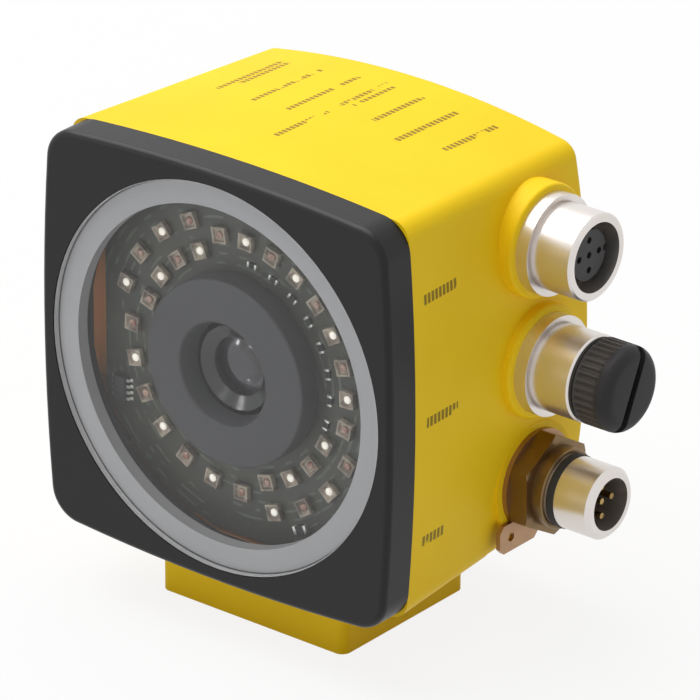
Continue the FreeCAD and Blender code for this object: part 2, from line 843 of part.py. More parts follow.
# Lens hood: a turned-looking dark cup that stands on the LED board round the lens
def make_hood():
    lip_back = d.hood_front + d.hood_wall
    throat_wall = d.hood_throat + d.hood_wall
    profile = (
        (d.hood_mouth, -d.hood_lip),
        (d.hood_radius, -d.hood_front),
        (d.hood_radius, -d.led_board_depth),
        (d.hood_radius - d.hood_wall, -d.led_board_depth),
        (d.hood_radius - d.hood_wall, -lip_back),
        (throat_wall, -lip_back),
        (throat_wall, -d.hood_throat_depth),
        (d.hood_throat, -d.hood_throat_depth),
    )
    turned("lens_hood", FACE, profile)


# Lens barrel: a turned tube with a wide head, a glass seated at each end
def make_lens():
    barrel_back = d.barrel_front + d.barrel_length
    front_seat = d.barrel_front + d.front_lens_seat
    rear_seat = barrel_back - d.rear_lens_seat
    front_bore = d.front_lens_radius + d.fit_gap
    rear_bore = d.rear_lens_radius + d.fit_gap
    head_back = d.barrel_front + d.barrel_head_length
    profile = (
        (front_bore, -d.barrel_front),
        (d.barrel_head_radius, -d.barrel_front),
        (d.barrel_head_radius, -head_back),
        (d.barrel_radius, -head_back),
        (d.barrel_radius, -barrel_back),
        (rear_bore, -barrel_back),
        (rear_bore, -rear_seat),
        (d.barrel_bore, -rear_seat),
        (d.barrel_bore, -front_seat),
        (front_bore, -front_seat),
    )
    turned("lens_barrel", FACE, profile)
    make_glass("front_lens", d.front_lens_radius, front_seat, d.front_lens_edge, d.front_lens_crown)
    rear_back = rear_seat + d.rear_lens_edge + d.rear_lens_crown
    make_glass("rear_lens", d.rear_lens_radius, rear_back, d.rear_lens_edge, d.rear_lens_crown)


def make_glass(label, radius, back, edge, crown):
    """A glass with a flat back, a straight edge and a domed front."""
    body = new_body(label, FACE)
    sketch = new_sketch(body, "profile", plane="XZ_Plane")
    rim, apex = edge - back, edge + crown - back
    bend = crown_radius(radius, crown)
    centre = FreeCAD.Vector(0, apex.value - bend.value, 0)
    ring = Part.Circle(centre, FreeCAD.Vector(0, 0, 1), bend.value)
    start = math.acos(radius.value / bend.value)
    sketch.addGeometry(Part.ArcOfCircle(ring, start, math.pi / 2))
    corners = ((ZERO, apex), (ZERO, -back), (radius, -back), (radius, rim))
    for (x0, y0), (x1, y1) in zip(corners, corners[1:]):
        ends = (FreeCAD.Vector(x0.value, y0.value, 0), FreeCAD.Vector(x1.value, y1.value, 0))
        sketch.addGeometry(Part.LineSegment(*ends))
    for element in range(4):
        following = (element + 1) % 4
        sketch.addConstraint(Sketcher.Constraint("Coincident", element, 2, following, 1))
    locate(sketch, 0, 1, radius, rim)
    for element, (x, y) in enumerate(corners[:3], start=1):
        locate(sketch, element, 1, x, y)
    constrain(sketch, Sketcher.Constraint("Radius", 0, bend.value), bend)
    spin = body.newObject("PartDesign::Revolution", label + "_turned")
    spin.Profile = sketch
    spin.ReferenceAxis = (sketch, ["V_Axis"])
    spin.Angle = 360
    doc.recompute()


# Lens holder: a square base on the camera board with a threaded tube for the barrel,
# over a chamber in which the image sensor sits
def make_holder():
    body = new_body("lens_holder", FACE)
    base = new_sketch(body, "base", d.holder_base_height - d.camera_board_depth)
    half = d.holder_base_half
    rectangle(base, -half, -half, half, half)
    pad(body, base, d.holder_base_height, backwards=True)
    tube = new_sketch(body, "tube", -d.holder_front)
    circle(tube, d.holder_tube_radius)
    pad(body, tube, d.camera_board_depth - d.holder_front - d.holder_base_height, backwards=True)
    bore = new_sketch(body, "bore", -d.holder_front)
    circle(bore, d.barrel_radius + d.fit_gap)
    pocket(body, bore, d.camera_board_depth - d.holder_front)
    chamber = new_sketch(body, "chamber", -d.camera_board_depth)
    room = d.holder_chamber_half
    rectangle(chamber, -room, -room, room, room)
    pocket(body, chamber, d.holder_chamber_depth, backwards=True)

    side = 2 * d.sensor_half
    foot = -d.camera_board_depth
    chip = box("sensor_chip", -d.sensor_half, -d.sensor_half, foot, side, side, d.sensor_height)
    group("image_sensor", FACE, [chip])


# Camera board and interface board: two like boards, pierced for the spacers' studs
def make_board(label, depth):
    body = new_body(label, FACE)
    sketch = new_sketch(body, "outline", -depth)
    rectangle(sketch, -d.board_left, -d.board_half_height, d.board_right, d.board_half_height)
    for right, up in CORNERS:
        stud_hole = d.spacer_stud_radius + d.fit_gap
        circle(sketch, stud_hole, right * d.spacer_offset, up * d.spacer_offset)
    pad(body, sketch, d.board_thickness, backwards=True)


# Spacers: six-sided bars between the boards, each with a stud that goes through
# the board behind it into the next spacer or into the housing's post
def make_spacers():
    stud_hole = d.spacer_stud_radius + d.fit_gap
    for label, front, back, bored in (
        ("front_spacers", led_board_back, d.camera_board_depth, False),
        ("rear_spacers", camera_board_back, d.interface_board_depth, True),
    ):
        spacers = []
        for number, (right, up) in enumerate(CORNERS, start=1):
            x, y = right * d.spacer_offset, up * d.spacer_offset
            name = "{}_{}".format(label, number)
            bar = hex_bar(name + "_bar", x, y, -back, d.spacer_radius, back - front)
            if bored:
                depth = d.spacer_stud_length
                bore = cylinder(name + "_bore", x, y, -front - depth, stud_hole, depth)
                bar = cut(name + "_bored", bar, bore)
            reach = d.board_thickness + d.spacer_stud_length - d.fit_gap
            stud = cylinder(name + "_stud", x, y, -back - reach, d.spacer_stud_radius, reach)
            spacers.append(joined(name, bar, stud))
        group(label, FACE, spacers)


# Chips and links on the inner boards
def make_board_parts():
    half = d.link_length / 2
    low = -d.link_offset - d.link_width / 2
    gap = d.camera_board_depth - led_board_back
    link = box("led_link_block", -half, low, -d.camera_board_depth, d.link_length, d.link_width, gap)
    group("led_link", FACE, [link])
    gap = d.interface_board_depth - camera_board_back
    link = box("board_link_block", -half, low, -d.interface_board_depth, d.link_length, d.link_width, gap)
    group("board_link", FACE, [link])

    sizes = (d.processor_size, d.processor_size, d.processor_height)
    processor = package("processor", ZERO, ZERO, -camera_board_back - d.processor_height, *sizes)
    sizes = (d.memory_length, d.memory_width, d.memory_height)
    memory = package("memory", -d.memory_left, ZERO, -camera_board_back - d.memory_height, *sizes)
    group("camera_board_chips", FACE, [processor, memory])

    floor = -d.interface_board_depth
    sizes = (d.coil_size, d.coil_size, d.coil_height)
    packages = [package("power_coil", -d.coil_left, d.coil_up, floor, *sizes)]
    sizes = (d.transceiver_length, d.transceiver_width, d.transceiver_height)
    for side in (-1, 1):
        name = "transceiver_{}".format((side + 3) // 2)
        up = side * d.transceiver_spacing / 2
        packages.append(package(name, d.transceiver_right, up, floor, *sizes))
    group("interface_board_chips", FACE, packages)

    x = d.connector_board_inner - d.side_link_width
    y = d.side_link_offset - d.side_link_length / 2
    z = -interface_board_back - d.side_link_height
    sizes = (d.side_link_width, d.side_link_length, d.side_link_height)
    group("side_link", FACE, [box("side_link_block", x, y, z, *sizes)])


# Connector board: an upright board behind the right wall that takes the tails of all contacts
def make_connector_board():
    body = new_body("connector_board", FACE)
    sketch = new_sketch(body, "outline", connector_board_outer, "YZ_Plane")
    back, front = -port_depth - d.connector_board_half_width, d.connector_board_half_width - port_depth
    rectangle(sketch, -d.connector_board_bottom, back, d.connector_board_top, front)
    pad(body, sketch, d.board_thickness, backwards=True)
    holes = new_sketch(body, "contact_holes", connector_board_outer, "YZ_Plane")
    for height in (d.port_spacing, ZERO, -d.port_spacing):
        for x, y in contact_places():
            circle(holes, contact_hole_radius, height - x, y - port_depth)
    pocket(body, holes, d.board_thickness)


def contact_places():
    """The middle contact and the four round it, across a connector's axis."""
    places = [(ZERO, ZERO)]
    for angle in CONTACT_ANGLES:
        across = round(math.cos(math.radians(angle)))
        along = round(math.sin(math.radians(angle)))
        places.append((d.contact_circle * across, d.contact_circle * along))
    return places


def make_contacts(label, frame, top, foot):
    bars = []
    for number, (x, y) in enumerate(contact_places(), start=1):
        name = "{}_{}".format(label, number)
        bars.append(cylinder(name, x, y, foot, d.contact_radius, top - foot))
    group(label, frame, bars)


def pierce(body, top, foot):
    """Drills a carrier for its contacts."""
    holes = new_sketch(body, "contact_holes", top)
    for x, y in contact_places():
        circle(holes, contact_hole_radius, x, y)
    pocket(body, holes, top - foot)


# Socket: a nickelled body with a grooved flange, screwed into the boss through the wall,
# a soft ring under its flange, and a dark carrier that holds the contacts
def make_port(label, frame):
    shank_foot = cavity_half - d.shank_overrun - port_boss_reach
    groove_top = d.flange_thickness + d.flange_groove_width
    carrier_hole = d.carrier_body_radius + d.fit_gap
    profile = (
        (d.socket_bore, d.socket_reach),
        (d.socket_radius - d.socket_chamfer, d.socket_reach),
        (d.socket_radius, d.socket_reach - d.socket_chamfer),
        (d.socket_radius, groove_top),
        (d.flange_groove_radius, groove_top),
        (d.flange_groove_radius, d.flange_thickness),
        (d.flange_radius, d.flange_thickness),
        (d.flange_radius, ZERO),
        (d.shank_radius, ZERO),
        (d.shank_radius, shank_foot),
        (carrier_hole, shank_foot),
        (carrier_hole, d.socket_bore_floor),
        (d.socket_bore, d.socket_bore_floor),
    )
    turned(label + "_socket", frame, profile)
    make_shank_seal(label + "_seal", frame)

    profile = (
        (ZERO, d.carrier_reach),
        (d.carrier_radius, d.carrier_reach),
        (d.carrier_radius, d.socket_bore_floor),
        (d.carrier_body_radius, d.socket_bore_floor),
        (d.carrier_body_radius, shank_foot),
        (ZERO, shank_foot),
    )
    carrier = turned(label + "_carrier", frame, profile)
    key = new_sketch(carrier, "key", d.carrier_reach)
    half, floor = d.carrier_key_width / 2, d.carrier_radius - d.carrier_key_depth
    rectangle(key, -half, floor, half, d.carrier_body_radius)
    pocket(carrier, key, d.carrier_reach - d.socket_bore_floor)
    pierce(carrier, d.carrier_reach, shank_foot)
    tail = d.connector_board_inner - d.contact_tail - port_boss_reach
    make_contacts(label + "_contacts", frame, d.carrier_reach - d.contact_sink, tail)


def make_shank_seal(label, frame):
    """The soft ring that lies in the recess round a connector's shank."""
    outer = shank_hole_radius + d.port_seal_width
    flat_ring(label, frame, ZERO, d.port_seal_thickness, outer, shank_hole_radius)


# Main plug: a nickelled threaded body screwed into the wall from outside,
# locked by a large hex nut over the earth tab's ring
def make_main():
    shank_foot = cavity_half - d.shank_overrun - main_seat_reach
    nut_top = d.tab_thickness + d.main_nut_thickness
    groove_top = nut_top + d.main_groove_width
    profile = (
        (d.main_bore, d.main_reach),
        (d.main_radius - d.main_chamfer, d.main_reach),
        (d.main_radius, d.main_reach - d.main_chamfer),
        (d.main_radius, groove_top),
        (d.main_groove_radius, groove_top),
        (d.main_groove_radius, nut_top),
        (d.shank_radius, nut_top),
        (d.shank_radius, shank_foot),
        (d.main_bore, shank_foot),
    )
    turned("main_plug", MAIN, profile)
    make_shank_seal("main_seal", MAIN)

    nut = new_body("main_nut", MAIN)
    sketch = new_sketch(nut, "hexagon", nut_top)
    hexagon(sketch, d.main_nut_flats, DIMENSIONS["main_nut_turn"])
    circle(sketch, shank_hole_radius)
    pad(nut, sketch, d.main_nut_thickness, backwards=True)

    carrier_radius = d.main_bore - d.fit_gap
    profile = (
        (ZERO, d.main_carrier_reach),
        (carrier_radius, d.main_carrier_reach),
        (carrier_radius, shank_foot),
        (ZERO, shank_foot),
    )
    carrier = turned("main_carrier", MAIN, profile)
    pierce(carrier, d.main_carrier_reach, shank_foot)
    tail = d.connector_board_inner - d.contact_tail - main_seat_reach
    make_contacts("main_pins", MAIN, d.main_pin_reach, tail)


# Earth tab: a flat stamping with a ring under the main nut and a blade that points
# forwards along the housing's side
def make_earth_tab():
    body = new_body("earth_tab", MAIN)
    ring = new_sketch(body, "ring")
    circle(ring, d.tab_ring_radius)
    pad(body, ring, d.tab_thickness)
    blade = new_sketch(body, "blade")
    near, far = d.tab_drop - d.tab_width / 2, d.tab_drop + d.tab_width / 2
    tip = -d.tab_length
    points = (
        (near, ZERO),
        (near, tip + d.tab_tip),
        (near + d.tab_tip, tip),
        (far - d.tab_tip, tip),
        (far, tip + d.tab_tip),
        (far, -d.tab_tip),
        (far - d.tab_tip, ZERO),
    )
    outline(blade, points)
    pad(body, blade, d.tab_thickness)
    holes = new_sketch(body, "holes")
    circle(holes, shank_hole_radius)
    circle(holes, d.tab_hole_radius, d.tab_drop, tip + d.tab_hole_setback)
    pocket(body, holes, d.tab_thickness, backwards=True)


# Blind plug: a knurled cap with a hollow threaded shank and a screwdriver slot,
# and the soft ring between its head and the socket's end
def make_blind_plug():
    heel = d.socket_reach + d.blind_head_gap
    top = heel + d.blind_head_length
    shank = d.socket_bore - d.thread_gap
    shank_bore = shank - d.blind_shank_wall
    bore_top = heel - d.blind_bore_depth
    profile = (
        (ZERO, top),
        (d.blind_head_radius - d.blind_edge, top),
        (d.blind_head_radius, top - d.blind_edge),
        (d.blind_head_radius, heel + d.blind_heel),
        (d.blind_head_radius - d.blind_heel, heel),
        (shank, heel),
        (shank, heel - d.blind_shank_length),
        (shank_bore, heel - d.blind_shank_length),
        (shank_bore, bore_top),
        (ZERO, bore_top),
    )
    body = turned("blind_plug", PORT_2, profile)
    slot = new_sketch(body, "slot", top)
    lean = math.radians(DIMENSIONS["blind_slot_lean"])
    half, reach = d.blind_slot_width / 2, d.blind_head_radius
    corners = ((1, 1), (1, -1), (-1, -1), (-1, 1))
    points = []
    for end, side in corners:
        x = end * reach * math.cos(lean) - side * half * math.sin(lean)
        y = -(end * reach * math.sin(lean)) - side * half * math.cos(lean)
        points.append((x, y))
    outline(slot, points)
    pocket(body, slot, d.blind_slot_depth)
    groove = new_sketch(body, "knurl", top)
    floor = d.blind_head_radius - d.knurl_depth
    beyond = d.blind_head_radius + d.knurl_depth
    outline(groove, ((floor, ZERO), (beyond, -d.knurl_width), (beyond, d.knurl_width)))
    line = pocket(body, groove, d.blind_head_length)
    knurl = body.newObject("PartDesign::PolarPattern", "blind_plug_knurl")
    knurl.Originals = [line]
    knurl.Axis = (groove, ["N_Axis"])
    knurl.Angle = 360
    knurl.Occurrences = KNURL_COUNT
    body.Tip = knurl
    doc.recompute()

    thickness = d.blind_head_gap - d.blind_seal_gap
    flat_ring("blind_plug_seal", PORT_2, heel, thickness, d.blind_seal_radius, shank + d.fit_gap)


make_bezel()
make_window()
make_housing()
make_gasket()
make_case_screws()
make_foot()
make_led_board()
make_hood()
make_lens()
make_holder()
make_board("camera_board", d.camera_board_depth)
make_board("interface_board", d.interface_board_depth)
make_spacers()
make_board_parts()
make_connector_board()
make_port("port_1", PORT_1)
make_port("port_2", PORT_2)
make_main()
make_earth_tab()
make_blind_plug()

doc.recompute()
for thing in doc.Objects:
    if "Invalid" in thing.State or "Error" in thing.State:
        raise ValueError("{} failed: {}".format(thing.Name, thing.State))
for node in nodes:
    if node.Shape.isNull() or not node.Shape.isValid():
        raise ValueError("{} has no valid shape".format(node.Label))

os.makedirs("parts", exist_ok=True)
for node in nodes:
    node.Shape.exportStep(os.path.join("parts", node.Label + ".step"))
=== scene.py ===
import math

import bpy
from mathutils import Matrix, Vector


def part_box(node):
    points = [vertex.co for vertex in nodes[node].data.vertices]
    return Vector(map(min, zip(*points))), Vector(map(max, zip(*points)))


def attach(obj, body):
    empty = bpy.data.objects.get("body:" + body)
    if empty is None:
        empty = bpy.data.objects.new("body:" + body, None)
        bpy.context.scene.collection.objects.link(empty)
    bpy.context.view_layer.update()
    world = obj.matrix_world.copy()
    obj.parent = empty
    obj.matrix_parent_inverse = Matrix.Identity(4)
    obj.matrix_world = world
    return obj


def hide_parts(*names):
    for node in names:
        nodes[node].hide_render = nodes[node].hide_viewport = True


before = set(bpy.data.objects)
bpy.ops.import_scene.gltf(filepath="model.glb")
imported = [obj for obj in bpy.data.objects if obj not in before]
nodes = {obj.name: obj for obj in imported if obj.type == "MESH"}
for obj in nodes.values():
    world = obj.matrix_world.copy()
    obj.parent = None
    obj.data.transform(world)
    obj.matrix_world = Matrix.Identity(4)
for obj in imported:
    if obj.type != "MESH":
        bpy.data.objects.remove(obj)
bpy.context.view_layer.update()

# Housing and foot: one thick-walled yellow moulding closed by the bezel in front, on a
# separate yellow foot screwed on from below. Both have the fine matt grain of the mould.
# The broken bars on the top and beside the connectors are pad-printed in a brown ink.
MM = 0.001
AXIS_HEIGHT = 45.6 * MM


class Shade:
    """One output in a finish's node tree. Sums and products of shades add nodes to the tree."""

    def __init__(self, tree, socket):
        self.tree = tree
        self.socket = socket

    def node(self, kind, settings, sockets, output=0):
        made = self.tree.nodes.new("ShaderNode" + kind)
        for name, value in settings.items():
            setattr(made, name, value)
        for key, value in sockets.items():
            if isinstance(value, Shade):
                self.tree.links.new(value.socket, made.inputs[key])
            else:
                made.inputs[key].default_value = value
        return Shade(self.tree, made.outputs[output])

    def math(self, operation, first, second=0.0):
        return self.node("Math", {"operation": operation}, {0: first, 1: second})

    def __add__(self, other):
        return self.math("ADD", self, other)

    __radd__ = __add__

    def __sub__(self, other):
        return self.math("SUBTRACT", self, other)

    def __rsub__(self, other):
        return self.math("SUBTRACT", other, self)

    def __mul__(self, other):
        return self.math("MULTIPLY", self, other)

    __rmul__ = __mul__

    def __lt__(self, other):
        return self.math("LESS_THAN", self, other)

    def __gt__(self, other):
        return self.math("GREATER_THAN", self, other)

    def __abs__(self):
        return self.math("ABSOLUTE", self)

    def sine(self):
        return self.math("SINE", self)

    def root(self):
        return self.math("SQRT", self)

    def power(self, exponent):
        return self.math("POWER", self, exponent)

    def most(self, other):
        return self.math("MAXIMUM", self, other)

    def part(self, axis):
        return self.node("SeparateXYZ", {}, {0: self}, axis)

    def noise(self, scale, detail=2.0):
        return self.node("TexNoise", {}, {"Vector": self, "Scale": scale, "Detail": detail})

    def ease(self, low, high):
        settings = {"interpolation_type": "SMOOTHSTEP"}
        return self.node("MapRange", settings, {"Value": self, "From Min": low, "From Max": high})

    def blend(self, first, second):
        return self.node("Mix", {"data_type": "RGBA"}, {0: self, 6: first, 7: second}, 2)

    def bump(self, strength, depth):
        return self.node("Bump", {}, {"Strength": strength, "Distance": depth, "Height": self})


def finish(name):
    """A new material, and its object coordinates as a shade."""
    material = bpy.data.materials.new(name)
    material.use_nodes = True
    tree = material.node_tree
    return material, Shade(tree, tree.nodes.new("ShaderNodeTexCoord").outputs["Object"])


def dress(material, sockets):
    """Sets the surface's sockets to values, or links shades to them."""
    surface = material.node_tree.nodes["Principled BSDF"]
    for name, value in sockets.items():
        if isinstance(value, Shade):
            material.node_tree.links.new(value.socket, surface.inputs[name])
        else:
            surface.inputs[name].default_value = value


def cover(material, *names):
    """Gives CAD nodes a finish."""
    for name in names:
        for slot in nodes[name].material_slots:
            slot.material = material


def bar(along, across, start, end, middle, width):
    """1 inside a printed bar, in the two directions of its face, and 0 outside."""
    inside = abs(along - (start + end) / 2 * MM) < (end - start) / 2 * MM
    return inside * (abs(across - middle * MM) < width / 2 * MM)


TOP_LINES = (
    (4.0, 20.0, -22.6, 1.0), (8.0, 20.0, -21.2, 1.0), (2.4, 19.9, -14.3, 1.0), (2.3, 20.5, -7.3, 1.0),
    (-6.9, 6.0, -1.9, 1.1), (9.0, 21.2, -2.0, 1.0), (10.5, 20.5, -0.3, 0.9), (7.9, 20.3, 5.7, 1.1),
    (4.3, 19.9, 12.9, 1.2), (7.3, 20.5, 20.0, 1.2),
)
SIDE_LINES = ((-15.3, -6.8, 65.8, 1.7), (-15.2, -7.3, 45.3, 1.7), (-15.6, -9.9, 24.9, 1.7))
YELLOW = (0.94, 0.64, 0.010, 1.0)
YELLOW_DEEP = (0.91, 0.60, 0.008, 1.0)
# Painted shade: the dark orange-brown given to the yellow inside the housing's cavity stands in for the shade
# that falls there.
YELLOW_PAINTED_SHADE = (0.72, 0.30, 0.075, 1.0)
INNER_HALF = 30.9 * MM
INNER_CORNER = 60.5 * MM
INNER_BACK = 24.0 * MM
PRINT = (0.13, 0.085, 0.012, 1.0)
PRINT_COVER = 0.8
DASH = 0.95 * MM
GRAIN_DEPTH = 0.04 * MM
TOP_LEVEL = 75.0 * MM
SIDE_LEVEL = 33.0 * MM
yellow, place = finish("yellow_moulding")
right, deep, high = place.part(0), place.part(1), place.part(2)
on_top = high > TOP_LEVEL
on_side = right > SIDE_LEVEL
top_print = sum(bar(deep, right, *line) for line in TOP_LINES) * on_top
side_print = sum(bar(deep, high, *line) for line in SIDE_LINES) * on_side
strokes = (deep * (2.0 * math.pi / DASH)).sine().ease(-0.9, -0.2)
broken = place.noise(300.0, 0.0).ease(0.30, 0.38)
printed = (top_print + side_print) * strokes * broken * PRINT_COVER
# Mask of the cavity behind the bezel, which gets the painted shade instead of the plain yellow.
sideways, upward = abs(right), abs(high - AXIS_HEIGHT)
shade_square = (sideways < INNER_HALF) * (upward < INNER_HALF) * (sideways + upward < INNER_CORNER)
inside = shade_square * (deep < INNER_BACK)
cloud = place.noise(38.0, 3.0).ease(0.3, 0.7)
grain = place.noise(2400.0, 2.0)
outer_tone = cloud.blend(YELLOW, YELLOW_DEEP)
dress(yellow, {
    "Base Color": printed.blend(inside.blend(outer_tone, YELLOW_PAINTED_SHADE), PRINT),
    "Roughness": 0.42 + 0.10 * grain,
    "Specular IOR Level": 0.16,
    "Normal": grain.bump(0.12, GRAIN_DEPTH),
})
cover(yellow, "housing", "mounting_foot")

# Gasket and seals: black rubber, cut or moulded, pressed between the mouldings and under the
# connector flanges, so only thin dark lines of it show.
rubber, place = finish("rubber")
dust = place.noise(700.0, 3.0)
dress(rubber, {
    "Base Color": dust.blend((0.012, 0.012, 0.012, 1.0), (0.035, 0.034, 0.032, 1.0)),
    "Roughness": 0.65 + 0.2 * dust,
})
SEALS = ("housing_gasket", "window_seal", "port_1_seal", "port_2_seal", "main_seal", "blind_plug_seal")
cover(rubber, *SEALS)

# Rear case screws and foot screws: zinc-plated steel with round heads and a six-sided drive
# recess, turned into the bezel's bosses from the back and into the housing from under the foot.
steel, place = finish("zinc_steel")
brushed = place.noise(1500.0, 2.0)
dress(steel, {
    "Base Color": brushed.blend((0.50, 0.51, 0.53, 1.0), (0.64, 0.64, 0.63, 1.0)),
    "Metallic": 1.0,
    "Roughness": 0.28 + 0.2 * brushed,
})


def block(size, centre):
    """A new box with its place in its mesh, left active."""
    bpy.ops.object.select_all(action="DESELECT")
    bpy.ops.mesh.primitive_cube_add(size=1.0, location=centre)
    bpy.ops.transform.resize(value=size)
    bpy.ops.object.transform_apply(location=True, rotation=True, scale=True)
    return bpy.context.object


def pick(made, test):
    """Enters edit mode with only those faces chosen that the test takes."""
    bpy.ops.object.mode_set(mode="EDIT")
    bpy.ops.mesh.select_mode(type="FACE")
    bpy.ops.mesh.select_all(action="DESELECT")
    bpy.ops.object.mode_set(mode="OBJECT")
    for polygon in made.data.polygons:
        polygon.select = test(polygon)
    bpy.ops.object.mode_set(mode="EDIT")


def soften(made, width, segments=2):
    """Rounds a piece's sharp edges."""
    bevel = made.modifiers.new("edges", "BEVEL")
    bevel.width = width
    bevel.segments = segments
    bevel.limit_method = "ANGLE"
    bpy.context.view_layer.objects.active = made
    bpy.ops.object.modifier_apply(modifier="edges")


def join(made, name):
    """Joins pieces into the first of them."""
    bpy.ops.object.select_all(action="DESELECT")
    for piece in made:
        piece.select_set(True)
    bpy.context.view_layer.objects.active = made[0]
    if len(made) > 1:
        bpy.ops.object.join()
    bpy.context.object.name = name
    return bpy.context.object


def set_out(master, places, name):
    """Copies a finished piece to its places as one object, each copy with its own mesh."""
    copies = []
    for matrix in places:
        copy = master.copy()
        copy.data = master.data.copy()
        copy.data.transform(matrix)
        bpy.context.scene.collection.objects.link(copy)
        copies.append(copy)
    bpy.data.objects.remove(master)
    return join(copies, name)


def show(piece, material, slot, *stands_for, body="head"):
    """Gives a finished piece its material and its body; the slot argument is not used."""
    piece.data.materials.clear()
    piece.data.materials.append(material)
    bpy.ops.object.select_all(action="DESELECT")
    piece.select_set(True)
    bpy.context.view_layer.objects.active = piece
    bpy.ops.object.shade_smooth_by_angle(angle=math.radians(35))
    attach(piece, body)
    if stands_for:
        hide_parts(*stands_for)


def carve(made, cutter, operation="DIFFERENCE"):
    """Cuts one piece with another and removes the cutter."""
    boolean = made.modifiers.new("recess", "BOOLEAN")
    boolean.object = cutter
    boolean.operation = operation
    boolean.solver = "EXACT"
    bpy.context.view_layer.objects.active = made
    bpy.ops.object.modifier_apply(modifier="recess")
    bpy.data.objects.remove(cutter)


def round_bar(sides, radius, length, top):
    """A new upright bar below a level, left active."""
    bpy.ops.object.select_all(action="DESELECT")
    place = (0.0, 0.0, top - length / 2)
    bpy.ops.mesh.primitive_cylinder_add(vertices=sides, radius=radius, depth=length, location=place)
    bpy.ops.object.transform_apply(location=True, rotation=True, scale=True)
    return bpy.context.object


def cap_screw(head_radius, head_height, stem_radius, length, key):
    """A screw that points down, with its head's end at level 0 and a six-sided recess in it."""
    screw = round_bar(40, head_radius, head_height, 0.0)
    pick(screw, lambda face: face.normal.z < -0.9)
    bpy.ops.mesh.inset(thickness=head_radius - stem_radius)
    bpy.ops.mesh.extrude_region_move(TRANSFORM_OT_translate={"value": (0.0, 0.0, head_height - length)})
    bpy.ops.object.mode_set(mode="OBJECT")
    soften(screw, SCREW_EDGE)
    carve(screw, round_bar(6, key / math.sqrt(3.0), 2.0 * RECESS_DEPTH * key, RECESS_DEPTH * key))
    return screw


SCREW_EDGE = 0.18 * MM
RECESS_DEPTH = 0.65
CASE_HEAD, CASE_HEAD_HEIGHT, CASE_STEM, CASE_KEY = 2.25 * MM, 2.5 * MM, 1.25 * MM, 2.0 * MM
low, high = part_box("case_screws")
turn_back = Matrix.Rotation(math.radians(-90.0), 4, "X")
case_places = []
for x in (low[0] + CASE_HEAD, high[0] - CASE_HEAD):
    for z in (low[2] + CASE_HEAD, high[2] - CASE_HEAD):
        case_places.append(Matrix.Translation((x, high[1], z)) @ turn_back)
case_screw = cap_screw(CASE_HEAD, CASE_HEAD_HEIGHT, CASE_STEM, high[1] - low[1], CASE_KEY)
show(set_out(case_screw, case_places, "case_cap_screws"), steel, "screw_steel", "case_screws")

FOOT_HEAD, FOOT_HEAD_HEIGHT, FOOT_STEM, FOOT_KEY = 3.5 * MM, 3.2 * MM, 2.0 * MM, 3.0 * MM
low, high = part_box("foot_screws")
turn_down = Matrix.Rotation(math.radians(180.0), 4, "X")
foot_places = []
for y in (low[1] + FOOT_HEAD, high[1] - FOOT_HEAD):
    foot_places.append(Matrix.Translation(((low[0] + high[0]) / 2, y, low[2])) @ turn_down)
foot_screw = cap_screw(FOOT_HEAD, FOOT_HEAD_HEIGHT, FOOT_STEM, high[2] - low[2], FOOT_KEY)
show(set_out(foot_screw, foot_places, "foot_cap_screws"), steel, "screw_steel", "foot_screws")

# Thread inserts and board spacers: turned brass, the inserts pressed into the foot, the
# spacers screwed between the boards.
brass, place = finish("turned_brass")
tooled = place.noise(1200.0, 2.0)
dress(brass, {
    "Base Color": tooled.blend((0.62, 0.42, 0.16, 1.0), (0.74, 0.55, 0.26, 1.0)),
    "Metallic": 1.0,
    "Roughness": 0.26 + 0.16 * tooled,
})
cover(brass, "foot_inserts", "front_spacers", "rear_spacers")

# Circuit boards: glass fibre laminate under dark green solder resist, with copper tracks
# that show as slightly raised lighter lines; the LED board stands on spacers round the hood.
BOARD_DARK = (0.034, 0.042, 0.036, 1.0)
BOARD_TRACK = (0.105, 0.120, 0.095, 1.0)
BOARD_BROWN = (0.16, 0.13, 0.09, 1.0)
TRACK_RATE = 4200.0
TRACK_HEIGHT = 0.04 * MM


def from_axis(place):
    """Distance from the lens's axis."""
    right, high = place.part(0), place.part(2) - AXIS_HEIGHT
    return (right * right + high * high).root()


board, place = finish("circuit_board")
rings = (from_axis(place) * TRACK_RATE).sine()
tracks = rings.ease(0.35, 0.75) * place.noise(330.0, 1.0).ease(0.52, 0.56)
weave = place.noise(120.0, 4.0)
board_tone = (0.35 * weave).blend(BOARD_DARK, BOARD_BROWN)
dress(board, {
    "Base Color": tracks.blend(board_tone, BOARD_TRACK),
    "Roughness": 0.38 + 0.15 * weave,
    "Normal": tracks.bump(0.3, TRACK_HEIGHT),
})
cover(board, "led_board", "camera_board", "interface_board", "connector_board")

# Chips and board links: black moulded packages and sockets, soldered to the inner boards and
# plugged together between them.
chip, place = finish("chip_moulding")
speck = place.noise(1800.0, 2.0)
dress(chip, {
    "Base Color": speck.blend((0.020, 0.020, 0.021, 1.0), (0.040, 0.040, 0.042, 1.0)),
    "Roughness": 0.5 + 0.2 * speck,
})
CHIPS = ("image_sensor", "led_link", "board_link", "camera_board_chips", "interface_board_chips", "side_link")
cover(chip, *CHIPS)

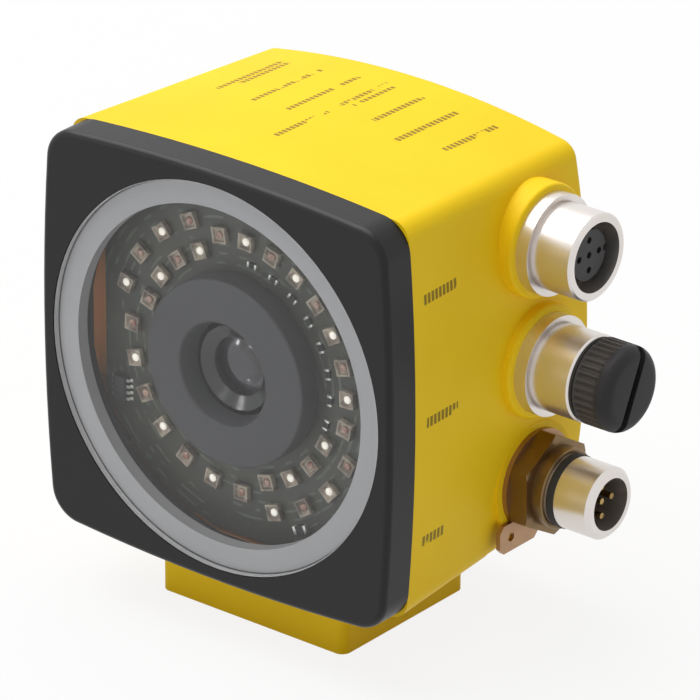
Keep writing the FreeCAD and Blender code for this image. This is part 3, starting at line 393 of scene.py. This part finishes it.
# Ring LEDs: square moulded packages with a sunk cup and a clear dome, soldered in one ring
# and in short double rows; some light up white and some red.
LED_SIZE = 2.75 * MM
LED_HEIGHT = 1.0 * MM
LED_FLOOR = -17.5 * MM
LED_RING = 21.6
LED_ROW = 2.5
LED_COUNT, LED_START = 24, 114.0
LED_CLOSE, LED_CLOSE_STEP = 10, 14.0
CUP_EDGE, CUP_DEPTH, CUP_TAPER, LED_EDGE = 0.32 * MM, 0.45 * MM, 0.86, 0.10 * MM
TOUCH = 0.001 * MM
DOME_RADIUS, DOME_LEVEL, DOME_CUT, DOME_FLATNESS = 0.66 * MM, -0.60 * MM, -0.50 * MM, 0.55
LED_DOUBLES = (0, 10, 11, 12, 13, 21, 22, 23)
LED_WHITE = ((2, 0), (4, 0), (6, 0), (8, 0), (15, 0), (17, 0), (19, 0), (21, 1), (22, -1), (0, -1), (10, -1),
             (11, 1), (13, 1), (12, -1), (23, 1))


def led_angle(step):
    """The first LEDs follow each other closely, and the others share the rest of the ring."""
    close = min(step, LED_CLOSE)
    rest = 360.0 - LED_CLOSE * LED_CLOSE_STEP
    return LED_START - close * LED_CLOSE_STEP - (step - close) * rest / (LED_COUNT - LED_CLOSE)


def on_board(right_mm, up_mm, turn):
    """From a part's own frame, facing -Y, to its place on the LED board's face."""
    spot = Matrix.Translation((right_mm * MM, LED_FLOOR, AXIS_HEIGHT + up_mm * MM))
    return spot @ Matrix.Rotation(-math.radians(turn), 4, "Y")


led_places = {}
for step in range(LED_COUNT):
    for row in (-1, 1) if step in LED_DOUBLES else (0,):
        reach, turn = LED_RING + row * LED_ROW, led_angle(step)
        angle = math.radians(turn)
        led_places[step, row] = on_board(reach * math.cos(angle), reach * math.sin(angle), turn)

case = block((LED_SIZE, LED_HEIGHT, LED_SIZE), (0.0, -LED_HEIGHT / 2, 0.0))
pick(case, lambda face: face.normal.y < -0.9)
bpy.ops.mesh.inset(thickness=CUP_EDGE)
bpy.ops.mesh.extrude_region_move(TRANSFORM_OT_translate={"value": (0.0, CUP_DEPTH, 0.0)})
bpy.ops.transform.resize(value=(CUP_TAPER, 1.0, CUP_TAPER))
bpy.ops.object.mode_set(mode="OBJECT")
soften(case, LED_EDGE)

bpy.ops.object.select_all(action="DESELECT")
dome_middle = (0.0, DOME_LEVEL, 0.0)
bpy.ops.mesh.primitive_uv_sphere_add(segments=20, ring_count=12, radius=DOME_RADIUS, location=dome_middle)
bpy.ops.transform.resize(value=(1.0, DOME_FLATNESS, 1.0))
bpy.ops.object.transform_apply(location=True, rotation=True, scale=True)
dome = bpy.context.object
bpy.ops.object.mode_set(mode="EDIT")
bpy.ops.mesh.select_all(action="SELECT")
bpy.ops.mesh.bisect(
    plane_co=(0.0, DOME_CUT, 0.0),
    plane_no=(0.0, 1.0, 0.0),
    clear_outer=True,
    use_fill=True,
    threshold=TOUCH,
)
bpy.ops.mesh.select_all(action="SELECT")
bpy.ops.mesh.normals_make_consistent(inside=False)
bpy.ops.object.mode_set(mode="OBJECT")
red_dome = dome.copy()
red_dome.data = dome.data.copy()

package, place = finish("led_package")
age = place.noise(420.0, 2.0)
dress(package, {
    "Base Color": age.ease(0.35, 0.65).blend((0.19, 0.15, 0.12, 1.0), (0.48, 0.41, 0.33, 1.0)),
    "Roughness": 0.35 + 0.2 * age,
    "Coat Weight": 0.3,
})
white_light, place = finish("led_white")
swirl = place.noise(1600.0, 2.0)
dress(white_light, {
    "Base Color": swirl.blend((0.95, 0.92, 0.85, 1.0), (0.80, 0.74, 0.62, 1.0)),
    "Roughness": 0.15 + 0.1 * swirl,
    "Coat Weight": 0.6,
    "Emission Color": (1.0, 0.96, 0.88, 1.0),
    "Emission Strength": 0.45,
})
red_light, place = finish("led_red")
swirl = place.noise(1600.0, 2.0)
dress(red_light, {
    "Base Color": swirl.ease(0.3, 0.7).blend((0.34, 0.14, 0.10, 1.0), (0.58, 0.40, 0.32, 1.0)),
    "Roughness": 0.15 + 0.1 * swirl,
    "Coat Weight": 0.6,
})
white_places = [matrix for key, matrix in led_places.items() if key in LED_WHITE]
red_places = [matrix for key, matrix in led_places.items() if key not in LED_WHITE]
show(set_out(case, led_places.values(), "led_cases"), package, "led", "ring_leds")
show(set_out(dome, white_places, "led_domes_white"), white_light, "led")
show(set_out(red_dome, red_places, "led_domes_red"), red_light, "led")

# Parts on the LED board: a flat driver chip with legs on both sides at the left, a capacitor
# below right, and a row of small resistors round the hood, all soldered on.
DRIVER_SIZE = (2.4 * MM, 1.1 * MM, 4.2 * MM)
DRIVER_LEVEL, DRIVER_EDGE = -0.65 * MM, 0.15 * MM
DRIVER_PLACE = (-24.2, -10.9)
driver = block(DRIVER_SIZE, (0.0, DRIVER_LEVEL, 0.0))
soften(driver, DRIVER_EDGE)
driver = set_out(driver, [on_board(*DRIVER_PLACE, 0.0)], "driver_chip")
show(driver, chip, "chip", "led_board_chips")

tin, place = finish("tinned_metal")
frost = place.noise(2000.0, 2.0)
dress(tin, {
    "Base Color": frost.blend((0.78, 0.78, 0.76, 1.0), (0.90, 0.90, 0.88, 1.0)),
    "Metallic": 0.85,
    "Roughness": 0.30 + 0.2 * frost,
})
LEG_SIZE = (0.55 * MM, 0.18 * MM, 0.5 * MM)
LEG_PLACE = (1.35 * MM, -0.60 * MM, 0.0)
LEG_BEND, LEG_END, LEG_EDGE = (0.12 * MM, 0.5 * MM, 0.0), (0.35 * MM, 0.0, 0.0), 0.05 * MM
LEG_COUNT, LEG_PITCH = 4, 1.05
leg = block(LEG_SIZE, LEG_PLACE)
pick(leg, lambda face: face.normal.x > 0.9)
for step in (LEG_BEND, LEG_END):
    bpy.ops.mesh.extrude_region_move(TRANSFORM_OT_translate={"value": step})
bpy.ops.object.mode_set(mode="OBJECT")
soften(leg, LEG_EDGE, 1)
leg_places = []
for number in range(LEG_COUNT):
    level = DRIVER_PLACE[1] + (number - (LEG_COUNT - 1) / 2) * LEG_PITCH
    for turn in (0.0, 180.0):
        leg_places.append(on_board(DRIVER_PLACE[0], level, turn))
show(set_out(leg, leg_places, "driver_legs"), tin, "nickel")

CAPACITOR = (12.2, -24.5, 20.0, 1.5)
RESISTOR_RING = 17.9
RESISTOR_TURNS = (82.0, 68.0, 54.0, 40.0, 26.0, 12.0, -2.0, -16.0)
RESISTOR_SIZE, RESISTOR_LEVEL, RESISTOR_EDGE = (1.1 * MM, 0.5 * MM, 0.9 * MM), -0.29 * MM, 0.06 * MM
END_SIZE, END_LEVEL, END_EDGE = (0.4 * MM, 0.56 * MM, 0.96 * MM), -0.28 * MM, 0.08 * MM
END_OFFSET = 0.72 * MM
small_parts = [CAPACITOR]
for turn in RESISTOR_TURNS:
    angle = math.radians(turn)
    small_parts.append((RESISTOR_RING * math.cos(angle), RESISTOR_RING * math.sin(angle), turn + 90.0, 1.0))
small_places = [on_board(x, z, turn) @ Matrix.Scale(size, 4) for x, z, turn, size in small_parts]
middle = block(RESISTOR_SIZE, (0.0, RESISTOR_LEVEL, 0.0))
soften(middle, RESISTOR_EDGE, 1)
ends = []
for side in (-1, 1):
    end = block(END_SIZE, (side * END_OFFSET, END_LEVEL, 0.0))
    soften(end, END_EDGE, 2)
    ends.append(end)
show(set_out(middle, small_places, "small_parts"), chip, "chip")
show(set_out(join(ends, "small_part_ends"), small_places, "small_part_ends"), tin, "nickel")

# Lens hood: a matt grey moulded collar standing in the middle of the LED board, with a rounded
# rim and a wide mouth that keeps the ring's light off the lens.
hood, place = finish("hood_moulding")
cloud = place.noise(60.0, 3.0)
grain = place.noise(2600.0, 2.0)
dress(hood, {
    "Base Color": cloud.blend((0.066, 0.065, 0.073, 1.0), (0.078, 0.077, 0.086, 1.0)),
    "Roughness": 0.42 + 0.04 * grain,
    "Specular IOR Level": 0.30,
    "Normal": grain.bump(0.02, GRAIN_DEPTH),
})


def turned(profile, axis, centre, steps):
    """A new turned piece: an outline of (along, radius) in mm spun round an axis, left active."""
    outline = [Vector(axis) * along + Vector((0.0, 0.0, radius)) for along, radius in profile]
    spots = [Vector(centre) + spot * MM for spot in outline]
    bpy.ops.object.select_all(action="DESELECT")
    bpy.ops.mesh.primitive_plane_add(size=MM, location=spots[0])
    bpy.ops.object.transform_apply(location=True, rotation=True, scale=True)
    bpy.ops.object.mode_set(mode="EDIT")
    bpy.ops.mesh.select_mode(type="VERT")
    bpy.ops.mesh.select_all(action="SELECT")
    bpy.ops.mesh.merge(type="CENTER")
    for near, far in zip(spots, spots[1:]):
        bpy.ops.mesh.extrude_region_move(TRANSFORM_OT_translate={"value": far - near})
    bpy.ops.mesh.select_all(action="SELECT")
    bpy.ops.mesh.spin(steps=steps, dupli=False, angle=2.0 * math.pi, center=centre, axis=axis)
    bpy.ops.mesh.select_all(action="SELECT")
    bpy.ops.mesh.remove_doubles(threshold=TOUCH)
    bpy.ops.mesh.normals_make_consistent(inside=False)
    bpy.ops.object.mode_set(mode="OBJECT")
    return bpy.context.object


LENS_AXIS = (0.0, 1.0, 0.0)
LENS_CENTRE = (0.0, 0.0, AXIS_HEIGHT)
HOOD_PROFILE = (
    (-22.30, 8.60), (-21.80, 15.60), (-17.50, 15.60), (-17.50, 14.00), (-20.20, 14.00), (-20.20, 9.30),
    (-18.60, 9.30), (-18.60, 7.70), (-22.30, 8.60),
)
HOOD_RIM = 0.45 * MM
collar = turned(HOOD_PROFILE, LENS_AXIS, LENS_CENTRE, 128)
soften(collar, HOOD_RIM, 4)
show(join([collar], "hood_collar"), hood, "hood", "lens_hood")

# Lens barrel and holder: black anodised metal turned with fine lines, the barrel with a dished
# front, screwed into each other in front of the sensor.
anodised, place = finish("black_anodised")
lines = place.noise(1900.0, 2.0)
dress(anodised, {
    "Base Color": lines.blend((0.020, 0.020, 0.021, 1.0), (0.028, 0.028, 0.030, 1.0)),
    "Roughness": 0.15 + 0.04 * lines,
})
cover(anodised, "lens_holder")
BARREL_PROFILE = (
    (-18.1, 4.90), (-19.0, 7.00), (-15.6, 7.00), (-15.6, 5.95), (-5.0, 5.95), (-5.0, 4.30), (-7.8, 4.30),
    (-7.8, 3.60), (-16.4, 3.60), (-16.4, 4.90), (-18.1, 4.90),
)
barrel = turned(BARREL_PROFILE, LENS_AXIS, LENS_CENTRE, 96)
show(join([barrel], "dished_barrel"), anodised, "lens_barrel", "lens_barrel")

# Lenses: polished coated glass seated at both ends of the barrel, the front one curved on both
# sides; the coating shows as a faint tint.
lens, place = finish("coated_lens")
tree = lens.node_tree
tint = place.noise(150.0, 1.0)
clear = place.node("BsdfTransparent", {}, {"Color": (0.66, 0.67, 0.70, 1.0)})
gloss = place.node("BsdfGlossy", {}, {"Color": (0.93, 0.88, 0.94, 1.0), "Roughness": 0.10})
slant = place.node("LayerWeight", {}, {"Blend": 0.5}, "Facing")
sheen = 0.06 + 0.02 * tint + 0.9 * slant.power(5.0)
coated = place.node("MixShader", {}, {0: sheen, 1: clear, 2: gloss})
tree.links.new(coated.socket, tree.nodes["Material Output"].inputs["Surface"])
cover(lens, "rear_lens")
LENS_FRONT, LENS_BACK = -18.6, -16.46
FRONT_CURVE, FRONT_RADIUS = 10.2, 4.8
BACK_CURVE, BACK_RADIUS = 8.0, 3.5
LENS_PARTS = 8
back_sag = math.sqrt(BACK_CURVE ** 2 - BACK_RADIUS ** 2)
profile = []
for part in range(LENS_PARTS + 1):
    radius = FRONT_RADIUS * part / LENS_PARTS
    profile.append((LENS_FRONT + FRONT_CURVE - math.sqrt(FRONT_CURVE ** 2 - radius ** 2), radius))
profile.append((LENS_BACK, FRONT_RADIUS))
for part in range(LENS_PARTS, -1, -1):
    radius = BACK_RADIUS * part / LENS_PARTS
    profile.append((LENS_BACK + math.sqrt(BACK_CURVE ** 2 - radius ** 2) - back_sag, radius))
front_glass = turned(profile, LENS_AXIS, LENS_CENTRE, 96)
show(join([front_glass], "curved_lens"), lens, "lens_glass", "front_lens")

# Window ring: a flat, smooth, pale grey moulded ring that lies behind the window's border, with a
# dark outer edge where the bezel shades it.
RING_EDGE = (32.05 * MM, 32.3 * MM)
RING_DARK = (0.05, 0.05, 0.05, 1.0)
ring, place = finish("window_ring")
outer = from_axis(place).ease(*RING_EDGE)
haze = place.noise(55.0, 3.0)
ring_tone = haze.blend((0.415, 0.410, 0.435, 1.0), (0.46, 0.455, 0.48, 1.0))
dress(ring, {
    "Base Color": outer.blend(ring_tone, RING_DARK),
    "Roughness": 0.42 + 0.1 * haze,
})
cover(ring, "window_ring")

# Window: a clear polished disc glued into the bezel over its seal, with a ground rim that
# catches the light as a thin pale line.
PANE_RIM = (32.35 * MM, 32.5 * MM)
RIM_COVER = 0.75
glass, place = finish("clear_window")
tree = glass.node_tree
rim = from_axis(place).ease(*PANE_RIM)
smear = place.noise(70.0, 3.0)
dress(glass, {
    "Base Color": smear.blend((0.62, 0.62, 0.63, 1.0), (0.72, 0.72, 0.72, 1.0)),
    "Roughness": 0.5,
})
clear = place.node("BsdfTransparent", {}, {"Color": (0.97, 0.975, 0.97, 1.0)})
gloss = place.node("BsdfGlossy", {}, {"Color": (1.0, 1.0, 1.0, 1.0), "Roughness": 0.03})
slant = place.node("LayerWeight", {}, {"Blend": 0.5}, "Facing")
sheen = 0.020 + 0.008 * smear + 0.9 * slant.power(5.0)
polished = place.node("MixShader", {}, {0: sheen, 1: clear, 2: gloss})
ground = Shade(tree, tree.nodes["Principled BSDF"].outputs[0])
whole = place.node("MixShader", {}, {0: rim * RIM_COVER, 1: polished, 2: ground})
tree.links.new(whole.socket, tree.nodes["Material Output"].inputs["Surface"])
PANE_AIR, PANE_EDGE = 0.06 * MM, 0.18 * MM
low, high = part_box("front_window")
bpy.ops.object.select_all(action="DESELECT")
bpy.ops.mesh.primitive_cylinder_add(
    vertices=160,
    radius=(high[0] - low[0]) / 2,
    depth=high[1] - low[1] - PANE_AIR,
    location=((low[0] + high[0]) / 2, (low[1] + high[1] - PANE_AIR) / 2, (low[2] + high[2]) / 2),
    rotation=(math.radians(90.0), 0.0, 0.0),
)
pane = bpy.context.object
pane.name = "window_pane"
bpy.ops.object.transform_apply(location=True, rotation=True, scale=True)
soften(pane, PANE_EDGE, 2)
show(pane, glass, "window", "front_window")

# Front bezel: a thick black moulding with rounded corners and a fine matt grain, screwed to
# the housing over the gasket.
black, place = finish("black_moulding")
cloud = place.noise(40.0, 3.0)
grain = place.noise(2400.0, 2.0)
dress(black, {
    "Base Color": cloud.blend((0.006, 0.0055, 0.006, 1.0), (0.009, 0.0083, 0.009, 1.0)),
    "Roughness": 0.32 + 0.14 * grain,
    "Specular IOR Level": 0.31,
    "Normal": grain.bump(0.14, GRAIN_DEPTH),
})
cover(black, "front_bezel")

# Round connectors: turned brass sleeves plated with nickel, screwed into the housing wall from
# outside up to their flanges; the turning leaves fine rings round each axis.
TURNING_DEPTH = 0.02 * MM
nickel, place = finish("nickel_plate")
along = place.part(0)
rings = place.node("CombineXYZ", {}, {0: along}).noise(9000.0, 3.0)
worn = place.noise(160.0, 3.0)
dress(nickel, {
    "Base Color": worn.blend((0.80, 0.76, 0.73, 1.0), (0.70, 0.65, 0.61, 1.0)),
    "Metallic": 0.9,
    "Roughness": 0.22 + 0.10 * worn + 0.06 * rings,
    "Normal": rings.bump(0.05, TURNING_DEPTH),
})
cover(nickel, "port_1_socket", "port_2_socket", "main_plug")

# Soft ring of the lowest connector: a black rubber band stretched over its sleeve, which
# seals against the nut that is screwed on there.
PORT_AXIS = (1.0, 0.0, 0.0)
RING_PROFILE = (
    (40.8, 5.88), (40.8, 5.98), (41.0, 6.04), (42.0, 6.04), (42.2, 5.98), (42.2, 5.88), (40.8, 5.88),
)
low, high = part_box("main_plug")
sleeve_axis = (0.0, (low[1] + high[1]) / 2, (low[2] + high[2]) / 2)
band = turned(RING_PROFILE, PORT_AXIS, sleeve_axis, 72)
show(join([band], "sleeve_ring"), rubber, "soft_seal")

# Hex nut and earth tab of the lowest connector: plated brass that has gone dull and brown,
# the stamped tab paler than the nut that clamps it against the housing wall.
bronze, place = finish("dull_nut_plate")
worn = place.noise(260.0, 4.0)
dress(bronze, {
    "Base Color": worn.blend((0.25, 0.165, 0.080, 1.0), (0.17, 0.110, 0.055, 1.0)),
    "Metallic": 1.0,
    "Roughness": 0.30 + 0.16 * worn,
})
NUT_FLATS, NUT_EDGE, NUT_BORE = 15.0, 0.45, 6.45
COLLAR_PROFILE = ((38.3, 5.95), (38.3, 6.60), (40.3, 6.60), (40.5, 6.40), (40.5, 5.95), (38.3, 5.95))
low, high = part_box("main_nut")
nut_back, nut_front, nut_corner = low[0] / MM, high[0] / MM, NUT_FLATS / math.sqrt(3.0)
nut_length = high[0] - low[0]
nut_end = Matrix.Translation(Vector(sleeve_axis) + Vector((high[0], 0.0, 0.0)))
lying = nut_end @ Matrix.Rotation(math.radians(90.0), 4, "Y")
nut = round_bar(6, nut_corner * MM, nut_length, 0.0)
nut.data.transform(lying @ Matrix.Rotation(math.radians(30.0), 4, "Z"))
cone = [
    (nut_back, 0.0), (nut_back, nut_corner - NUT_EDGE), (nut_back + NUT_EDGE, nut_corner + NUT_EDGE),
    (nut_front - NUT_EDGE, nut_corner + NUT_EDGE), (nut_front, nut_corner - NUT_EDGE), (nut_front, 0.0),
]
carve(nut, turned(cone, PORT_AXIS, sleeve_axis, 96), "INTERSECT")
hole = round_bar(64, NUT_BORE * MM, 3.0 * nut_length, nut_length)
hole.data.transform(lying)
carve(nut, hole)
nut_collar = turned(COLLAR_PROFILE, PORT_AXIS, sleeve_axis, 72)
show(join([nut, nut_collar], "hex_nut"), bronze, "nut", "main_nut")
stamped, place = finish("dull_tab_plate")
worn = place.noise(260.0, 4.0)
dress(stamped, {
    "Base Color": worn.blend((0.46, 0.29, 0.17, 1.0), (0.36, 0.22, 0.13, 1.0)),
    "Metallic": 1.0,
    "Roughness": 0.32 + 0.16 * worn,
})
cover(stamped, "earth_tab")

# Contact carriers and contacts: black moulded inserts with a key, holding gold-plated pins and
# sockets, snapped into the sleeves.
insert, place = finish("carrier_moulding")
speck = place.noise(1500.0, 2.0)
dress(insert, {
    "Base Color": speck.blend((0.016, 0.016, 0.017, 1.0), (0.030, 0.030, 0.031, 1.0)),
    "Roughness": 0.42 + 0.2 * speck,
})
cover(insert, "port_1_carrier", "port_2_carrier", "main_carrier")
gold, place = finish("gold_contacts")
speck = place.noise(1500.0, 2.0)
dress(gold, {
    "Base Color": speck.blend((0.50, 0.34, 0.13, 1.0), (0.36, 0.24, 0.09, 1.0)),
    "Metallic": 1.0,
    "Roughness": 0.22 + 0.1 * speck,
})
cover(gold, "port_1_contacts", "port_2_contacts", "main_pins")

# Blind plug: a black moulded cap with a fine axial knurl, a rounded rim and a slot in its end,
# screwed by its hollow shank into the middle socket over its own seal ring.
cap, place = finish("cap_moulding")
SHANK_START, SHANK_ROOT, SHANK_CREST, SHANK_BORE = 40.5, 5.25, 5.62, 4.52
THREAD_TURNS, THREAD_START, THREAD_RISE, THREAD_TOP, THREAD_FALL = 5, 0.2, 0.35, 0.5, 0.85
BORE_END, HEEL, HEEL_EDGE = 44.9, 46.0, 0.5
HEAD_RADIUS, RIM_RADIUS, RIM_PARTS, CAP_END = 7.05, 2.0, 6, 53.0
RIB_ENDS = (46.8, 50.2)
KNURL_END = 50.6
KNURL_FADE = (49.8 * MM, 51.0 * MM)
RIB_COUNT, RIB_DEPTH, RIB_COLUMNS = 36, 0.42, 4
SLOT_WIDTH, SLOT_DEPTH, SLOT_LEAN = 1.5, 1.5, -25.0
cloud = place.noise(110.0, 3.0)
grain = place.noise(2200.0, 2.0)
smooth_end = place.part(0).ease(*KNURL_FADE)
knurl_tone = cloud.blend((0.060, 0.056, 0.058, 1.0), (0.085, 0.080, 0.081, 1.0))
dress(cap, {
    "Base Color": smooth_end.blend(knurl_tone, (0.026, 0.024, 0.026, 1.0)),
    "Roughness": 0.42 + 0.14 * grain,
    "Specular IOR Level": 0.22,
    "Normal": grain.bump(0.12, GRAIN_DEPTH),
})
profile = [(BORE_END, 0.0), (BORE_END, SHANK_BORE), (SHANK_START, SHANK_BORE), (SHANK_START, SHANK_ROOT)]
for turn in range(THREAD_TURNS):
    foot = SHANK_START + THREAD_START + turn
    profile += [(foot, SHANK_ROOT), (foot + THREAD_RISE, SHANK_CREST)]
    profile += [(foot + THREAD_TOP, SHANK_CREST), (foot + THREAD_FALL, SHANK_ROOT)]
profile += [(HEEL, SHANK_ROOT), (HEEL, HEAD_RADIUS - HEEL_EDGE), (HEEL + HEEL_EDGE, HEAD_RADIUS)]
profile += [(RIB_ENDS[0], HEAD_RADIUS), (RIB_ENDS[1], HEAD_RADIUS), (KNURL_END, HEAD_RADIUS)]
for part in range(RIM_PARTS + 1):
    angle = math.radians(90.0 * part / RIM_PARTS)
    along = CAP_END - RIM_RADIUS + RIM_RADIUS * math.sin(angle)
    profile.append((along, HEAD_RADIUS - RIM_RADIUS + RIM_RADIUS * math.cos(angle)))
profile.append((CAP_END, 0.0))
low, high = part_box("blind_plug_seal")
plug_axis = Vector((0.0, (low[1] + high[1]) / 2, (low[2] + high[2]) / 2))
columns = RIB_COLUMNS * RIB_COUNT
plug = turned(profile, PORT_AXIS, plug_axis, columns)
for vertex in plug.data.vertices:
    offset = vertex.co - plug_axis
    column = round(math.atan2(offset.z, offset.y) / (2.0 * math.pi) * columns) % RIB_COLUMNS
    ribbed = min(abs(offset.x - end * MM) for end in RIB_ENDS) < 10.0 * TOUCH
    vertex.select = ribbed and column < RIB_COLUMNS / 2
for edge in plug.data.edges:
    edge.select = False
for face in plug.data.polygons:
    face.select = False
bpy.ops.object.mode_set(mode="EDIT")
shrink = 1.0 - RIB_DEPTH / HEAD_RADIUS
bpy.ops.transform.resize(value=(1.0, shrink, shrink))
bpy.ops.object.mode_set(mode="OBJECT")
slot_bar = block((2.0 * SLOT_DEPTH * MM, SLOT_WIDTH * MM, 3.0 * HEAD_RADIUS * MM), (0.0, 0.0, 0.0))
cap_end = Matrix.Translation(plug_axis + Vector((CAP_END * MM, 0.0, 0.0)))
slot_bar.data.transform(cap_end @ Matrix.Rotation(math.radians(SLOT_LEAN), 4, "X"))
carve(plug, slot_bar)
show(join([plug], "blind_cap"), cap, "blind_plug", "blind_plug", body="plug")

# Studio: a plain white floor, an even white surround, a wide soft lamp overhead a little to
# the left, two small lamps in front that glint in the lens, and the photo's camera.
FLOOR_SIZE = 9.0
FLOOR_WHITE = 0.86
SURROUND_LIGHT = 0.37
LAMP_AIM = (0.0, 0.0, 0.04)
bpy.ops.object.select_all(action="DESELECT")
bpy.ops.mesh.primitive_plane_add(size=FLOOR_SIZE, location=(0.0, 0.0, 0.0))
floor = bpy.context.object
floor.name = "floor"
paper, place = finish("floor_paper")
fibre = place.noise(30.0, 3.0)
dress(paper, {
    "Base Color": fibre.blend((0.76, 0.76, 0.76, 1.0), (0.78, 0.78, 0.78, 1.0)),
    "Roughness": 0.9,
    "Specular IOR Level": 0.0,
})


def direct_sight(tree):
    """1 for rays from the camera, from mirrors and through glass, and 0 for lighting rays."""
    rays = tree.nodes.new("ShaderNodeLightPath").outputs
    shades = [Shade(tree, rays[name]) for name in ("Is Camera Ray", "Is Glossy Ray", "Is Transmission Ray")]
    return shades[0].most(shades[1].most(shades[2]))


tree = paper.node_tree
shadowed = Shade(tree, tree.nodes["Principled BSDF"].outputs[0])
white = place.node("Emission", {}, {"Color": (1.0, 1.0, 1.0, 1.0), "Strength": 1.0})
sheet = place.node("MixShader", {}, {0: FLOOR_WHITE * direct_sight(tree), 1: shadowed, 2: white})
tree.links.new(sheet.socket, tree.nodes["Material Output"].inputs["Surface"])
floor.data.materials.append(paper)

world = bpy.data.worlds.new("surround")
bpy.context.scene.world = world
world.use_nodes = True
tree = world.node_tree
strength = SURROUND_LIGHT + (1.0 - SURROUND_LIGHT) * direct_sight(tree)
backdrop = tree.nodes["Background"]
backdrop.inputs["Color"].default_value = (1.0, 1.0, 1.0, 1.0)
tree.links.new(strength.socket, backdrop.inputs["Strength"])


def lamp(name, spot, size, power):
    """A soft square lamp that points at the object's middle."""
    data = bpy.data.lights.new(name, "AREA")
    data.shape = "SQUARE"
    data.size = size
    data.energy = power
    made = bpy.data.objects.new(name, data)
    bpy.context.scene.collection.objects.link(made)
    made.location = spot
    made.rotation_mode = "QUATERNION"
    made.rotation_quaternion = (Vector(LAMP_AIM) - Vector(spot)).to_track_quat("-Z", "Y")


lamp("key_lamp", (-0.48, -0.06, 1.30), 1.5, 23.0)
lamp("catch_lamp", (-0.78, -0.90, 0.24), 0.13, 0.6)
lamp("front_lamp", (-0.27, -1.15, 0.38), 0.13, 0.6)

CAMERA_TURN = math.radians(38.8699)
CAMERA_TILT = math.radians(25.1865)
CAMERA_ROLL = math.radians(0.1219)
CAMERA_SHIFT = (21.1539, 4.6123, 1157.5117)
AIM = Vector((0.0, -24.4, 45.6))
SENSOR_WIDTH, FOCAL_LENGTH = 36.0, 385.714
back = Vector((
    math.sin(CAMERA_TURN) * math.cos(CAMERA_TILT),
    -math.cos(CAMERA_TURN) * math.cos(CAMERA_TILT),
    math.sin(CAMERA_TILT),
))
level = Vector((math.cos(CAMERA_TURN), math.sin(CAMERA_TURN), 0.0))
upright = back.cross(level)
across = math.cos(CAMERA_ROLL) * level + math.sin(CAMERA_ROLL) * upright
above = math.cos(CAMERA_ROLL) * upright - math.sin(CAMERA_ROLL) * level
spot = AIM + CAMERA_SHIFT[0] * across + CAMERA_SHIFT[1] * above + CAMERA_SHIFT[2] * back
camera_data = bpy.data.cameras.new("camera")
camera_data.sensor_width = SENSOR_WIDTH
camera_data.lens = FOCAL_LENGTH
camera = bpy.data.objects.new("camera", camera_data)
bpy.context.scene.collection.objects.link(camera)
camera.matrix_world = Matrix.Translation(spot * MM) @ Matrix((across, above, back)).transposed().to_4x4()
bpy.context.scene.camera = camera
bpy.context.scene.view_settings.view_transform = "Standard"
